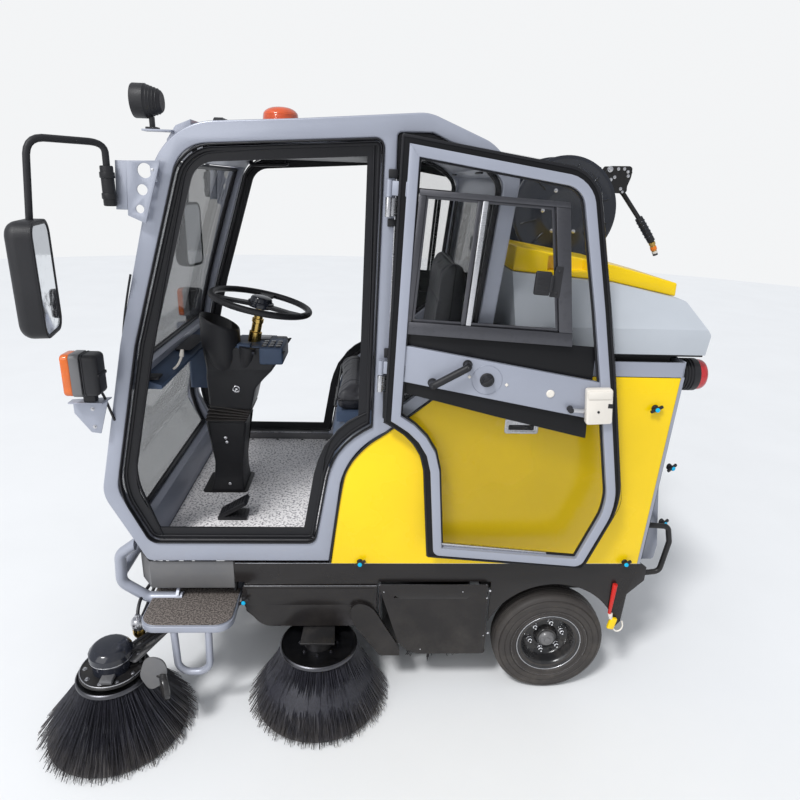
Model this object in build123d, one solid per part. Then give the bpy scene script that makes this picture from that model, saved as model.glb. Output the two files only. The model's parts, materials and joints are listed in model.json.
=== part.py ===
from build123d import *
import os
from math import radians, sin, cos

# Compact cab sweeper, millimetres.
# While modelling, x runs rearward from the rear axle, y from the centre line
# (the left side is at -y) and z up from the ground.
# Every part is moved by rear_axle_x at the end, so that the origin is the
# middle of the whole machine's footprint.

os.makedirs("parts", exist_ok=True)

# driving dimensions
half_width = 520            # outer face of the cab sides and of the rear tyres
rear_axle_x = 655.5         # place of the rear axle in the finished frame
frame_depth = 40            # side frames, measured across the machine
tyre_radius = 207.5
tyre_width = 105
axle_z = tyre_radius
shaft_radius = 15
running_gap = 0.05
front_axle_x = -1090
steer_x = -1120
floor_z = 590
skirt_y = 505
brush_tip_z = 4
side_brush_radius = 260
side_brush_hub = 115
front_brush_place = (-1530, 650)
mid_brush_place = (-850, 530)
main_brush_place = (-425, 178)
door_open_angle = 176
door_ring_inset = 25        # glass edge to door frame
door_ring_band = 29
door_seal_lap = 17          # glass edge over the seal
lid_hinge = (370, 1312)
reel_place = (45, 150, 1730)
reel_radius = 198
reel_floor_z = 1500         # floor of the well in the lid
bracket_holes = ((-1306, 1819, 19.5), (-1317, 1769, 14.5), (-1328, 1718, 11.5))   # x, z, radius


def slab(profile, y_low, y_high):
    """A profile drawn as (x, z), made solid from y_low to y_high."""
    return extrude(Plane.XZ.offset(-y_high) * profile, amount=y_high - y_low)


def plate(profile, z_low, z_high):
    """A profile drawn as (x, y), made solid from z_low to z_high."""
    return extrude(Pos(0, 0, z_low) * profile, amount=z_high - z_low)


def block(x_low, x_high, y_low, y_high, z_low, z_high):
    middle = Pos((x_low + x_high) / 2, (y_low + y_high) / 2, (z_low + z_high) / 2)
    return middle * Box(x_high - x_low, y_high - y_low, z_high - z_low)


def outline(*corners):
    return make_face(Polyline(*corners, close=True))


def rounded(face, radii):
    """Rounds the corners nearest to the given places: {(x, y): radius}."""
    for place, radius in radii.items():
        corner = face.vertices().sort_by_distance((place[0], place[1], 0))[0]
        face = fillet(corner, radius)
    return face


def rod(start, end, radius):
    start, end = Vector(*start), Vector(*end)
    along = end - start
    return extrude(Plane(start, z_dir=along) * Circle(radius), amount=along.length)


def tube_along(points, bend, radius):
    """A bar of round section along straight runs joined by bends."""
    path = FilletPolyline(*points, radius=bend)
    section = Plane(path @ 0, z_dir=path % 0) * Circle(radius)
    return sweep(section, path=path)


def group(*parts):
    """Separate solids that make one piece, such as the members of a welded frame."""
    return Compound([solid for part in parts for solid in part.solids()])


def both_sides(part):
    return group(part, mirror(part, about=Plane.XZ))


def wheel_disc(profile):
    """Revolves an (axial, radial) profile about the y axis."""
    return revolve(Plane.YX * profile, Axis.Y)


# doorway, drawn as (x, z)
pillar_foot = (-673, 1068)
arch_middle = (-759, 1004)
arch_end = (-818, 879)


def doorway_face():
    lower = Line(arch_end, (-860, 640))
    rest = Polyline((-860, 640), (-1409, 640), (-1497, 836), (-1390, 1322),
                    (-1215, 1890), (-654, 1927), pillar_foot)
    arch = ThreePointArc(pillar_foot, arch_middle, arch_end)
    face = make_face([lower, *rest.edges(), arch])
    return rounded(face, {(-860, 640): 25, (-1409, 640): 30, (-1497, 836): 90,
                          (-1215, 1890): 100, (-654, 1927): 25})


doorway = doorway_face()


def side_frame():
    arch = ThreePointArc((-630, 1050), (-722, 976), (-774, 868))
    run = Polyline((-774, 868), (-813, 568), (-1424, 568), (-1548, 818),
                   (-1436, 1322), (-1262, 1945), (-886, 1968), (-532, 1996),
                   (-354, 1926), (-262, 1846), (-322, 1290), (-370, 1262),
                   (-630, 1050))
    face = make_face([arch, *run.edges()])
    face = rounded(face, {(-1424, 568): 25, (-1548, 818): 110, (-1436, 1322): 500,
                          (-1262, 1945): 200, (-532, 1996): 120, (-354, 1926): 120,
                          (-262, 1846): 60})
    window = rounded(outline((-622, 1112), (-618, 1942), (-520, 1944), (-372, 1878),
                             (-312, 1820), (-366, 1316)),
                     {(-312, 1820): 40, (-618, 1942): 12, (-366, 1316): 20})
    return slab(face - doorway - window, -half_width, -half_width + frame_depth), window


left_side, quarter_window = side_frame()


def door_face():
    """Outer edge of the door's glass, drawn closed as (x, z)."""
    arch = ThreePointArc((-670, 1097), (-768, 1032), (-815, 889))
    run = Polyline((-815, 889), (-848, 622), (-1383, 622), (-1467, 880), (-1345, 1400),
                   (-1213, 1886), (-662, 1942), (-670, 1097))
    face = make_face([arch, *run.edges()])
    return rounded(face, {(-848, 622): 12, (-1383, 622): 12, (-1467, 880): 110, (-1345, 1400): 600,
                          (-1213, 1886): 95, (-662, 1942): 10})


door_outline = door_face()

# rubber seal inside the doorway, behind the closed door's glass
seal_opening = offset(door_outline, -door_seal_lap) & offset(doorway, -2)
seal = slab(doorway - seal_opening, -half_width - 7, -half_width + 20)

# door hinges: one leaning line beside the door pillar
hinge_high = (-636, 1927)
hinge_low = (-655, 1068)
hinge_y = -half_width - 22
hinge_line = Vector(hinge_high[0] - hinge_low[0], 0, hinge_high[1] - hinge_low[1]).normalized()
hinge_axis = Axis(origin=(hinge_low[0], hinge_y, hinge_low[1]), direction=hinge_line)


def hinge_point(height):
    part = (height - hinge_low[1]) / (hinge_high[1] - hinge_low[1])
    return Vector(hinge_low[0] + part * (hinge_high[0] - hinge_low[0]), hinge_y, height)


hinge_heights = (1250, 1772)


def hinge_knuckle(height, low, high, radius):
    centre = hinge_point(height)
    return Plane(centre + hinge_line * low, z_dir=hinge_line) * Pos(0, 0, (high - low) / 2) * \
        Cylinder(radius, high - low)


def fixed_hinges():
    parts = []
    for height in hinge_heights:
        lower = hinge_knuckle(height, -54, -1, 9)
        pin = hinge_knuckle(height, -2, 46, 4)
        x = hinge_point(height).X
        leaf = block(x - 6, x + 26, -half_width - 20, -half_width, height - 52, height - 3)
        clear = hinge_knuckle(height, -1, 60, 11)
        parts.append(lower + (leaf - clear) + pin)
    return group(*parts)


def door_parts():
    """The left door's pieces, drawn closed."""
    glass_y = -half_width - 12
    ring_y = -half_width + 14
    glass = slab(door_outline, glass_y - 5, glass_y)
    outer = offset(door_outline, -door_ring_inset)
    ring = slab(outer - offset(outer, -door_ring_band), glass_y, ring_y)
    rail = outline((-600, 1368), (-1450, 1274), (-1450, 1153), (-600, 1257))
    ring = ring + slab(rail & offset(outer, -5), glass_y, ring_y - 8)
    for height in hinge_heights:
        x = hinge_point(height).X
        glass = glass - block(x - 16, x + 40, glass_y - 10, glass_y + 5, height - 60, height + 58)
        glass = glass - block(x - 78, x, glass_y - 10, glass_y + 5, height + 3, height + 46)
        knuckle = hinge_knuckle(height, 1, 46, 9)
        arm = block(x - 76, x, hinge_y - 4, hinge_y + 4, height + 5, height + 44)
        arm = arm + block(x - 76, x - 46, hinge_y - 4, ring_y - 8, height + 5, height + 44)
        bore = hinge_knuckle(height, -5, 60, 4 + running_gap)
        ring = ring + knuckle + arm - bore
    return glass, ring, door_window(glass_y) + door_handles(ring_y)


def door_window(glass_y):
    """Rails and stiles of the two sliding panes, with the catch on one stile."""
    left, right, high, low = -724, -1143, 1800, 1392
    rails = [outline((left, high), (right, high - 3), (right - 2, high - 18), (left, high - 16)),
             outline((left + 10, low + 36), (-1208, low + 40), (-1214, low), (left + 12, low - 2)),
             outline((left, high - 16), (left - 20, high - 16), (left - 8, low + 36), (left + 10, low + 36)),
             outline((right + 38, high - 18), (right - 2, high - 18), (-1208, low + 40), (-1168, low + 40)),
             outline((-872, high - 17), (-898, high - 17), (-906, low + 37), (-880, low + 37))]
    catch = block(-1152, -1072, glass_y + 18, glass_y + 32, 1530, 1626)
    pieces = [slab(rail, glass_y, glass_y + 18) for rail in rails]
    return [*pieces, catch]


def door_handles(ring_y):
    """Pull bar, window knob and the latch with its lever."""
    low, high = (-811, 1247), (-911, 1313)
    pull = tube_along([(low[0], ring_y - 8, low[1]), (low[0], ring_y + 34, low[1]),
                       (high[0], ring_y + 34, high[1]), (high[0], ring_y - 8, high[1])], 14, 11)
    knob = slab(Pos(-975, 1269) * Circle(22), ring_y - 8, ring_y + 20)
    latch = slab(outline((-1272, 1272), (-1350, 1280), (-1366, 1170), (-1288, 1160)), ring_y, ring_y + 26)
    lever = block(-1282, -1236, ring_y + 4, ring_y + 12, 1193, 1207)
    return [pull, knob, latch + lever]


door_glass, door_ring, door_fittings = door_parts()


def opened(part):
    return part.rotate(hinge_axis, door_open_angle)


door_fittings = group(*[piece - door_ring for piece in door_fittings])


# cab shell
def cab_roof():
    inner = half_width - frame_depth
    top = make_face([Line((-inner, 0), (inner, 0)), Line((inner, 0), (inner, 36)),
                     ThreePointArc((inner, 36), (0, 62), (-inner, 36)), Line((-inner, 36), (-inner, 0))])
    over = Plane(origin=(-1190, 0, 1896), x_dir=(0, 1, 0), z_dir=(1, 0, 0.045)) * top
    panel = extrude(over, amount=720)
    slope = Plane(origin=(-474, 0, 1928), x_dir=(0, 1, 0), z_dir=(1, 0, -0.52)) * top
    return panel + extrude(slope, amount=150)


def front_frame():
    inner = half_width - frame_depth
    header = slab(outline((-1266, 1850), (-1258, 1904), (-1232, 1940), (-1190, 1957),
                          (-1190, 1896), (-1222, 1850)), -inner, inner)
    rear_header = slab(outline((-341, 1861), (-341, 1919), (-262, 1850), (-268, 1836), (-304, 1836)),
                       -inner, inner)
    dash = slab(outline((-1466, 1168), (-1450, 1222), (-1404, 1222), (-1404, 1168)), -inner, inner)
    foot = slab(outline((-1440, 606), (-1462, 650), (-1474, 690), (-1430, 690), (-1400, 606)), -inner, inner)
    return [header, rear_header, dash, foot]


def windscreen():
    inner = half_width - frame_depth - 1
    path = [ThreePointArc((-1450, 1226), (-1366, 1530), (-1262, 1846)),
            Line((-1262, 1846), (-1257, 1844)),
            ThreePointArc((-1257, 1844), (-1360, 1529), (-1444, 1226)),
            Line((-1444, 1226), (-1450, 1226))]
    return slab(make_face(path), -inner, inner)


def low_screen():
    inner = half_width - frame_depth - 1
    return slab(outline((-1466, 1166), (-1536, 818), (-1480, 694), (-1474, 694),
                        (-1529, 818), (-1459, 1166)), -inner, inner)


def rear_wall():
    """The cab's rear wall round its window, leaning with the rear pillars."""
    inner = half_width - frame_depth
    lean = slab(outline((-304, 1836), (-358, 1330), (-338, 1330), (-284, 1836)), -inner, inner)
    bands = [(-inner, inner, 1300, 1420), (-inner, inner, 1770, 1850),
             (-inner, 70 - inner, 1420, 1770), (inner - 70, inner, 1420, 1770)]
    return [lean & block(-420, -220, *band) for band in bands]


def rear_window():
    inner = half_width - frame_depth
    lean = slab(outline((-299, 1836), (-353, 1330), (-347, 1330), (-293, 1836)), -inner, inner)
    return lean & block(-420, -220, -inner + 70, inner - 70, 1420, 1770)


# wheels
def tyre():
    half = tyre_width / 2
    side = [(40.7, 105.4), (40.7, 122), (half, 150), (half, 178), (40, 203)]
    other = [(-axial, radius) for axial, radius in reversed(side)]
    return wheel_disc(outline((35.6, 100.3), *side, (0, tyre_radius), *other, (-35.6, 100.3)))


def rim(dish_side):
    """A pressed rim with a deep dish; dish_side is -1 where the outside is at -y."""
    profile = outline((-41, 121), (-41, 105), (-36, 100), (36, 100), (41, 105), (41, 121),
                      (44, 121), (44, 103), (37, 96), (16, 94), (16, 44), (24, 40), (24, 10),
                      (-14, 10), (-14, 40), (8, 44), (8, 86), (-30, 94), (-37, 96), (-44, 103),
                      (-44, 121))
    body = wheel_disc(profile)
    bore = rod((0, -60, 0), (0, 60, 0), shaft_radius + running_gap)
    body = body - bore
    if dish_side > 0:
        body = mirror(body, about=Plane.XZ)
    return body


def at_wheel(part, x, y):
    return Pos(x, y, axle_z) * part


rear_wheel_y = half_width - tyre_width / 2


def rear_axle():
    beam = rod((0, -398, axle_z), (0, 398, axle_z), 34)
    gearbox = Pos(30, 0, axle_z) * Box(150, 170, 150)    # shifted, so that the motor clears the hopper
    motor = rod((30, 85, axle_z), (30, 290, axle_z), 72)
    stubs = rod((0, -492, axle_z), (0, 492, axle_z), shaft_radius)
    return beam + fillet(gearbox.edges(), 18) + motor + stubs


def chassis():
    """Members of the ladder frame, which butt against each other."""
    members = []
    for side in (-1, 1):
        low, high = sorted((side * 300, side * 360))
        members.append(block(-1400, 286, low, high, 480, 560))
        members.append(arm_mount() if side < 0 else mirror(arm_mount(), about=Plane.XZ))
        members.append(block(270, 286, min(side * 300, side * 450), max(side * 300, side * 450), 440, 480))
        low, high = sorted((side * 320, side * 334))
        hanger = slab(outline((-90, 480), (90, 480), (60, axle_z), (-60, axle_z)), low, high)
        members.append(hanger - rod((0, -400, axle_z), (0, 400, axle_z), 34))
    for x in (-1400, -1250, -760, -240, 226):
        members.append(block(x, x + 60, -300, 300, 500, 560))
    head = Pos(steer_x, 0, 520) * Cylinder(44, 80) + block(steer_x - 40, steer_x + 40, -300, 300, 500, 556)
    members.append(head - Pos(steer_x, 0, 520) * Cylinder(25 + running_gap, 200))
    members.append(tow_eye())
    members.append(rear_hoop())
    return members


def front_fork():
    crown = plate(Pos(steer_x + 10, 0) * Rectangle(170, 190), 436, 454)
    stem = Pos(steer_x, 0, 454 + 58) * Cylinder(25, 116)
    collar = Pos(steer_x, 0, 466.8) * Cylinder(40, 25.6)
    cap = Pos(steer_x, 0, 574) * Cylinder(34, 8)
    legs = None
    for side in (-1, 1):
        low, high = sorted((side * 72, side * 84))
        leg = slab(outline((steer_x - 60, 436), (steer_x + 80, 436), (front_axle_x + 34, axle_z - 26),
                           (front_axle_x - 34, axle_z - 26)), low, high)
        legs = leg if legs is None else legs + leg
    axle = rod((front_axle_x, -96, axle_z), (front_axle_x, 96, axle_z), shaft_radius)
    return crown + stem + collar + cap + legs + axle


def front_rim():
    profile = outline((-41, 121), (-41, 105), (-36, 100), (36, 100), (41, 105), (41, 121),
                      (44, 121), (44, 103), (37, 96), (6, 92), (6, 34), (30, 32), (30, 10),
                      (-30, 10), (-30, 32), (-6, 34), (-6, 92), (-37, 96), (-44, 103), (-44, 121))
    return wheel_disc(profile) - rod((0, -60, 0), (0, 60, 0), shaft_radius + running_gap)


# brushes
def side_brush(hub_top):
    """A steel backing disc with a flared skirt of bristle."""
    disc = Pos(0, 0, hub_top - 8) * Cylinder(side_brush_hub, 16)
    bristle = revolve(Plane.XZ * outline((70, hub_top - 16), (side_brush_hub - 6, hub_top - 16),
                                         (side_brush_radius, brush_tip_z + 10),
                                         (side_brush_radius - 8, brush_tip_z),
                                         (side_brush_radius - 60, brush_tip_z)), Axis.Z)
    shaft = Pos(0, 0, hub_top + 18) * Cylinder(9, 36)
    return disc + shaft + bristle


def main_brush():
    x, z = main_brush_place
    core = rod((x, -376, z), (x, 376, z), 78)
    shaft = rod((x, -396, z), (x, 396, z), 12)
    tufts = None
    count = 12
    for row in range(count):
        turn = 360 / count * row
        strip = Pos(x, 0, z) * Rot(0, turn, 0) * block(-9, 9, -376, 376, 74, z - brush_tip_z - 2)
        tufts = strip if tufts is None else tufts + strip
    return core + shaft + tufts


def main_brush_hood():
    """Hood of flat bent faces over the brush, its two cheeks and the straps that hang it."""
    x, z = main_brush_place

    def rim(radius, degrees_up):
        return x + radius * cos(radians(degrees_up)), z + radius * sin(radians(degrees_up))

    bends = [6 + 24 * face for face in range(8)]
    hood = [slab(outline(rim(192, low), rim(192, high), rim(188, high), rim(188, low)), -390, 390)
            for low, high in zip(bends, bends[1:])]
    cheek = Pos(x, z) * Circle(192) & outline((x - 260, z - 60), (x + 260, z - 60),
                                              (x + 260, z + 300), (x - 260, z + 300))
    shaft_hole = rod((x, -420, z), (x, 420, z), 12 + running_gap)
    top = z + 192 * cos(radians(12))
    strap = slab(outline((x - 39, top), (x + 39, top), (x + 39, 480), (x - 39, 480)), 330, 342)
    return group(*hood, both_sides(slab(cheek, 390, 402) - shaft_hole), both_sides(strap))


def front_arm():
    x, y = front_brush_place
    deck = plate(Pos(x, -y) * Circle(105), 236, 246)
    motor = Pos(x, -y, 278) * Cylinder(60, 64)
    cap = Pos(x, -y, 333) * Cylinder(74, 46)
    cap = fillet(cap.faces().sort_by(Axis.Z)[-1].edges(), 20)
    bar = tube_along([(-1285, -395, 330), (-1370, -395, 318), (-1470, -600, 262), (-1510, -634, 262)], 30, 17)
    brace = plate(outline((-1480, -590), (-1440, -650), (-1560, -700), (-1600, -640)), 246, 254)
    sleeve = rod((-1275, -366, 330), (-1275, -424, 330), 28)
    roller_fork = rod((-1440, -660, 250), (-1352, -706, 250), 8)
    roller = Pos(-1345, -710, 214) * Rot(0, 0, 28) * Rot(0, 90, 0) * Cylinder(44, 22)
    roller_arm = rod((-1352, -706, 252), (-1352, -706, 214), 7)
    arm = bar + sleeve + brace + deck + motor + cap + roller + roller_fork + roller_arm
    pin_bore = rod((-1275, -300, 330), (-1275, -480, 330), 12 + running_gap)
    return arm - pin_bore - Pos(x, -y, 240) * Cylinder(9 + running_gap, 60)


def arm_mount():
    """Clevis and pin under the chassis rail that carries a front brush arm."""
    cheek = outline((-1310, 480), (-1240, 480), (-1250, 306), (-1300, 306))
    cheeks = slab(cheek, -364, -352) + slab(cheek, -440, -428)
    top = block(-1310, -1240, -440, -300, 468, 480)
    pin = rod((-1275, -444, 330), (-1275, -350, 330), 12)
    return cheeks + top + pin


def mid_motor():
    x, y = mid_brush_place
    motor = Pos(x, -y, 247) * Cylinder(52, 50) - Pos(x, -y, 228) * Cylinder(9 + running_gap, 60)
    deck = plate(outline((x - 60, -y - 60), (x + 60, -y - 60), (x + 50, -330), (x - 50, -330)), 272, 280)
    post = block(x - 50, x + 50, -338, -330, 280, 472)
    foot = block(x - 50, x + 50, -360, -300, 472, 480)
    return group(motor, deck, post, foot)


# bodywork
def dust_hopper():
    """Sheet bin behind the main brush, open towards the brush and at the top."""
    sides = block(-225, 240, -290, -286, 296, 480)
    floor = block(-225, 240, -290, 290, 292, 296)
    back = block(236, 240, -286, 286, 296, 480)
    flange = block(-225, 240, -318, -290, 476, 480)
    return group(both_sides(sides), floor, back, both_sides(flange))


def skirt():
    top, rail = 551, 473
    arch = Pos(0, axle_z) * Circle(254)
    face = outline((-1141, top), (300, top), (324, 533), (324, 478), (268, 418), (262, 300),
                   (232, 260), (-236, 300), (-236, rail), (-640, rail), (-700, 293), (-1050, 293),
                   (-1108, 352), (-1108, rail), (-1141, rail))
    panel = slab(face - arch, -skirt_y, -skirt_y + 5)
    ledge = block(-1141, 286, -skirt_y + 5, -360, top - 5, top)
    return panel + ledge


def access_door():
    """The pressed black cover over the main brush, held by hand knobs."""
    face = rounded(outline((-640, 470), (-250, 470), (-240, 170), (-505, 170), (-560, 210)),
                   {(-240, 170): 20, (-505, 170): 40, (-640, 470): 12})
    body = slab(face, -skirt_y - 12, -skirt_y - 1)
    relief = rounded(outline((-560, 420), (-330, 420), (-310, 250), (-480, 250)),
                     {(-560, 420): 20, (-330, 420): 20, (-310, 250): 20, (-480, 250): 20})
    return body - slab(relief, -skirt_y - 13, -skirt_y - 7)


def front_apron():
    """Low grey apron in five flat faces, tied to the rails."""
    z_low, z_high = 449, 556
    side = outline((-1143, -skirt_y), (-1428, -skirt_y), (-1428, -skirt_y + 4), (-1143, -skirt_y + 4))
    corner = outline((-1428, -skirt_y), (-1478, -440), (-1474, -440), (-1428, -skirt_y + 4))
    nose = outline((-1478, -440), (-1478, 440), (-1474, 440), (-1474, -440))
    ties = block(-1474, -1400, 300, 360, 500, 540)
    panels = [both_sides(plate(face, z_low, z_high)) for face in (side, corner)]
    return group(*panels, plate(nose, z_low, z_high), both_sides(ties))


def bumper():
    y = -486
    side = tube_along([(-1440, y, 640), (-1530, y, 572), (-1536, y, 460), (-1450, y, 398),
                       (-1330, y, 398)], 40, 19)
    side = side - left_side - group(*front_frame()) - block(-1474, -1300, -600, -400, 449, 640)
    bracket = extrude(Plane.YZ.offset(-1350) * outline((-505, 417), (-300, 440), (-300, 480), (-440, 480)),
                      amount=10) - side
    cross = rod((-1532, y, 500), (-1532, -y, 500), 19) - side - mirror(side, about=Plane.XZ)
    stay = block(-1520, -1478, -340, -320, 485, 515) - cross
    return group(both_sides(group(side, bracket, stay)), cross)


def step():
    mat_face = rounded(outline((-1436, -508), (-1130, -508), (-1130, -650), (-1436, -650)),
                       {(-1130, -650): 55, (-1436, -650): 55})
    pan = plate(mat_face, 376, 400) + plate(offset(mat_face, -8), 400, 404)
    guard = tube_along([(-1322, -636, 376), (-1318, -636, 205), (-1212, -636, 205), (-1208, -636, 376)], 45, 12)
    pieces = [pan, guard - pan]
    for x in (-1420, -1170):
        pieces.append(block(x, x + 30, -560, -300, 352, 376))
        pieces.append(block(x, x + 30, -340, -310, 376, 480))
    return group(*pieces)


def side_panel():
    """The yellow side cover with its rounded shoulder behind the doorway."""
    arch = ThreePointArc((-624, 1044), (-716, 970), (-768, 866))
    run = Polyline((-768, 866), (-806, 554), (282, 554), (315, 1247), (-386, 1247), (-624, 1044))
    face = make_face([arch, *run.edges()])
    return slab(face, -half_width + 6, -half_width + 12)


def panel_edging():
    strip = outline((-384, 1250), (318, 1250), (318, 1298), (-318, 1298), (-318, 1292), (-368, 1264))
    tail = outline((282, 554), (292, 554), (326, 1250), (315, 1250))
    return slab(strip + tail, -half_width + 6, -half_width + 14) - left_side - side_panel()


def body_frame():
    """Posts, deck and coaming behind the side panels."""
    inner = half_width - 14
    members = []
    for x, top in ((-745, 880), (-300, 1236), (250, 1236)):
        for side in (-1, 1):
            low, high = sorted((side * (inner - 24), side * inner))
            members.append(block(x, x + 36, low, high, 572, top))
    members.append(block(-318, 286, -inner, inner, 1236, 1248))
    members.append(both_sides(block(-780, 286, -inner, -inner + 150, 560, 572)))
    for x in (-300, 250):
        members.append(block(x, x + 36, -inner + 24, inner - 24, 572, 600))
    members.append(both_sides(block(-225, 286, -478, -472, 1248, 1334)))
    for x in (-225, 280):
        members.append(block(x, x + 6, -472, 472, 1248, 1334))
    return members


def cab_floor():
    """Floor plate and the sheet box over the batteries; the seat stands on the box."""
    inner = half_width - frame_depth - 2
    run = ((-812, 602), (-812, 930), (-770, 975), (-340, 975), (-340, 602))
    sheets = [outline((-812, 602), (-812, 930), (-806, 927), (-806, 602)),
              outline((-812, 930), (-770, 975), (-767, 969), (-806, 927)),
              outline((-770, 975), (-340, 975), (-346, 969), (-767, 969)),
              outline((-340, 975), (-340, 602), (-346, 602), (-346, 969))]
    skin = [slab(sheet, -inner + 6, inner - 6) for sheet in sheets]
    cheek = slab(outline(*run), -inner, -inner + 6)
    back = block(-346, -340, -inner, inner, 975, 1330)
    floor = block(-1400, -340, -inner, inner, floor_z, floor_z + 12)
    bearer = block(-1400, -340, -350, -310, 560, floor_z)
    seat_base = block(-800, -420, -235, 235, 975, 1013)
    return group(*skin, both_sides(cheek), back, floor, both_sides(bearer), seat_base)


def seat():
    cushion = fillet(block(-812, -400, -250, 250, 1013, 1104).edges(), 30)
    rest_profile = rounded(outline((-470, 1106), (-378, 1106), (-352, 1560), (-420, 1572)),
                           {(-420, 1572): 30, (-352, 1560): 25, (-470, 1106): 20})
    rest = slab(rest_profile, -235, 235)
    return cushion, rest


def column():
    """Tapered steel foot, bellows and moulded binnacle on a leaning line."""
    foot = (-1258, 606)
    lean = Plane(origin=(foot[0], 0, foot[1]), x_dir=(cos(radians(12)), 0, -sin(radians(12))),
                 z_dir=(sin(radians(12)), 0, cos(radians(12))))
    sections = [(-6, 150, 170), (120, 132, 140), (310, 142, 150)]
    lower = loft([lean * Pos(0, 0, height) * RectangleRounded(wide, deep, 18)
                  for height, wide, deep in sections])
    lower = lower - block(-1400, -1100, -200, 200, 500, floor_z + 12)
    flange = block(-1345, -1165, -95, 95, floor_z + 12, floor_z + 20)
    bellows = loft([lean * Pos(0, 0, 310) * RectangleRounded(160, 164, 20),
                    lean * Pos(0, 0, 350) * RectangleRounded(184, 184, 24),
                    lean * Pos(0, 0, 390) * RectangleRounded(160, 164, 20)])
    shroud = loft([lean * Pos(0, 0, 390) * RectangleRounded(150, 160, 22),
                   lean * Pos(0, 0, 520) * RectangleRounded(205, 200, 40),
                   lean * Pos(-10, 0, 640) * RectangleRounded(290, 250, 70),
                   lean * Pos(-14, 0, 705) * RectangleRounded(280, 240, 70)])
    bearing = lean * Pos(0, 0, 716) * Cylinder(20, 26)
    bore = lean * Pos(0, 0, 730) * Cylinder(13 + running_gap, 60)
    return lower + flange + bellows + shroud + bearing - bore, lean


steering_column, column_plane = column()
wheel_height = 776


def steering_wheel():
    rim_ring = column_plane * Pos(0, 0, wheel_height) * Torus(183, 13)
    hub = column_plane * Pos(0, 0, wheel_height - 16) * Cylinder(46, 34)
    shaft = column_plane * Pos(0, 0, 737) * Cylinder(13, 56)
    spokes = column_plane * Pos(0, 0, wheel_height - 10) * Box(360, 34, 10)
    spoke = column_plane * Pos(0, 90, wheel_height - 10) * Box(34, 180, 10)
    return rim_ring + hub + shaft + spokes + spoke


def pedal():
    plate_part = Plane(origin=(-1178, -280, 648), x_dir=(0.87, 0, 0.5), z_dir=(-0.5, 0, 0.87)) * Box(108, 74, 14)
    base = block(-1235, -1130, -316, -244, floor_z + 12, floor_z + 28)
    post = block(-1200, -1170, -300, -260, floor_z + 28, 644)
    return plate_part + base + post


def dash_tray():
    inner = half_width - frame_depth - 10
    tray = slab(outline((-1404, 1168), (-1404, 1200), (-1340, 1180), (-1340, 1168)), -inner, inner)
    box = block(-1404, -1300, 60, 330, 1000, 1168)
    return tray + fillet(box.edges().filter_by(Axis.Z), 14)


# rear lid
def lid_solid(inset):
    """The lid's outer form, or with an inset the hollow inside it."""
    face = rounded(outline((-236, 1322), (384, 1322), (392, 1387), (318, 1486), (95, 1530), (-236, 1556)),
                   {(392, 1387): 18, (318, 1486): 25})
    if inset:
        face = offset(face, -inset) + outline((-236 + inset, 1310), (384 - inset, 1310),
                                              (386 - inset, 1340), (-236 + inset, 1340))
    body = slab(face, -skirt_y + inset, skirt_y - inset)
    for side in (-1, 1):
        wedge = outline((side * (skirt_y + 1 - inset), 1402 - inset), (side * 600, 1402 - inset),
                        (side * 600, 1700), (side * (380 - inset), 1700), (side * (398 - inset), 1560 - inset))
        body = body - extrude(Plane.YZ.offset(-400) * wedge, amount=900)
    return body


def rear_lid():
    """Sheet shell with a level well for the hose reel."""
    sheet = 5
    outside = lid_solid(0)
    well = block(-130, 260, 36, 330, reel_floor_z, 1600)
    well_wall = block(-130 - sheet, 260 + sheet, 36 - sheet, 330 + sheet, reel_floor_z - sheet, 1600)
    shell = outside - lid_solid(sheet) + (well_wall & outside) - well
    x, z = lid_hinge
    for y in (-325, 325):
        ear = rod((x, y - 13, z), (x, y + 13, z), 8) + block(x - 2, x + 13, y - 13, y + 13, z + 2, z + 24)
        shell = shell + ear
    return shell - rod((x, -400, z), (x, 400, z), 5 + running_gap)


def lid_hinges():
    x, z = lid_hinge
    parts = []
    for y in (-325, 325):
        pin = rod((x, y - 27, z), (x, y + 27, z), 5)
        ears = rod((x, y - 27, z), (x, y - 15, z), 8) + rod((x, y + 15, z), (x, y + 27, z), 8)
        foot = block(330, x, y - 27, y - 15, z - 22, z - 2) + block(330, x, y + 15, y + 27, z - 22, z - 2)
        parts.append(pin + ears + foot)
    return parts


def lid_cover():
    """Raised yellow cover on the left of the lid, with a hand recess."""
    face = outline((-232, 1557), (95, 1531), (314, 1488), (326, 1502), (100, 1582), (-228, 1634))
    body = slab(face, -384, -20)
    recess = block(-120, 10, -400, -330, 1560, 1606)
    return body - recess


def reel_parts():
    x, y, z = reel_place
    discs = None
    for offset_y in (-100, 94):
        disc = rod((x, y + offset_y, z), (x, y + offset_y + 6, z), reel_radius)
        for slot in range(6):
            turn = radians(60 * slot)
            place = (x + 150 * cos(turn), z + 150 * sin(turn))
            disc = disc - slab(Pos(*place) * Circle(22), y + offset_y - 1, y + offset_y + 7)
        discs = disc if discs is None else discs + disc
    drum = rod((x, y - 94, z), (x, y + 94, z), 72)
    reel = discs + drum - rod((x, y - 200, z), (x, y + 200, z), 14 + running_gap)
    turns = 8
    pitch = 184 / turns
    bumps = []
    for turn in range(turns):
        left = -92 + pitch * turn
        bumps.append(ThreePointArc((left, 132), (left + pitch / 2, 141), (left + pitch, 132)))
    profile = make_face([Line((-92, 132), (-92, 72.3)), Line((-92, 72.3), (92, 72.3)),
                         Line((92, 72.3), (92, 132)), *bumps])
    hose = Pos(x, y, z) * wheel_disc(profile)
    return reel, hose


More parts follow.
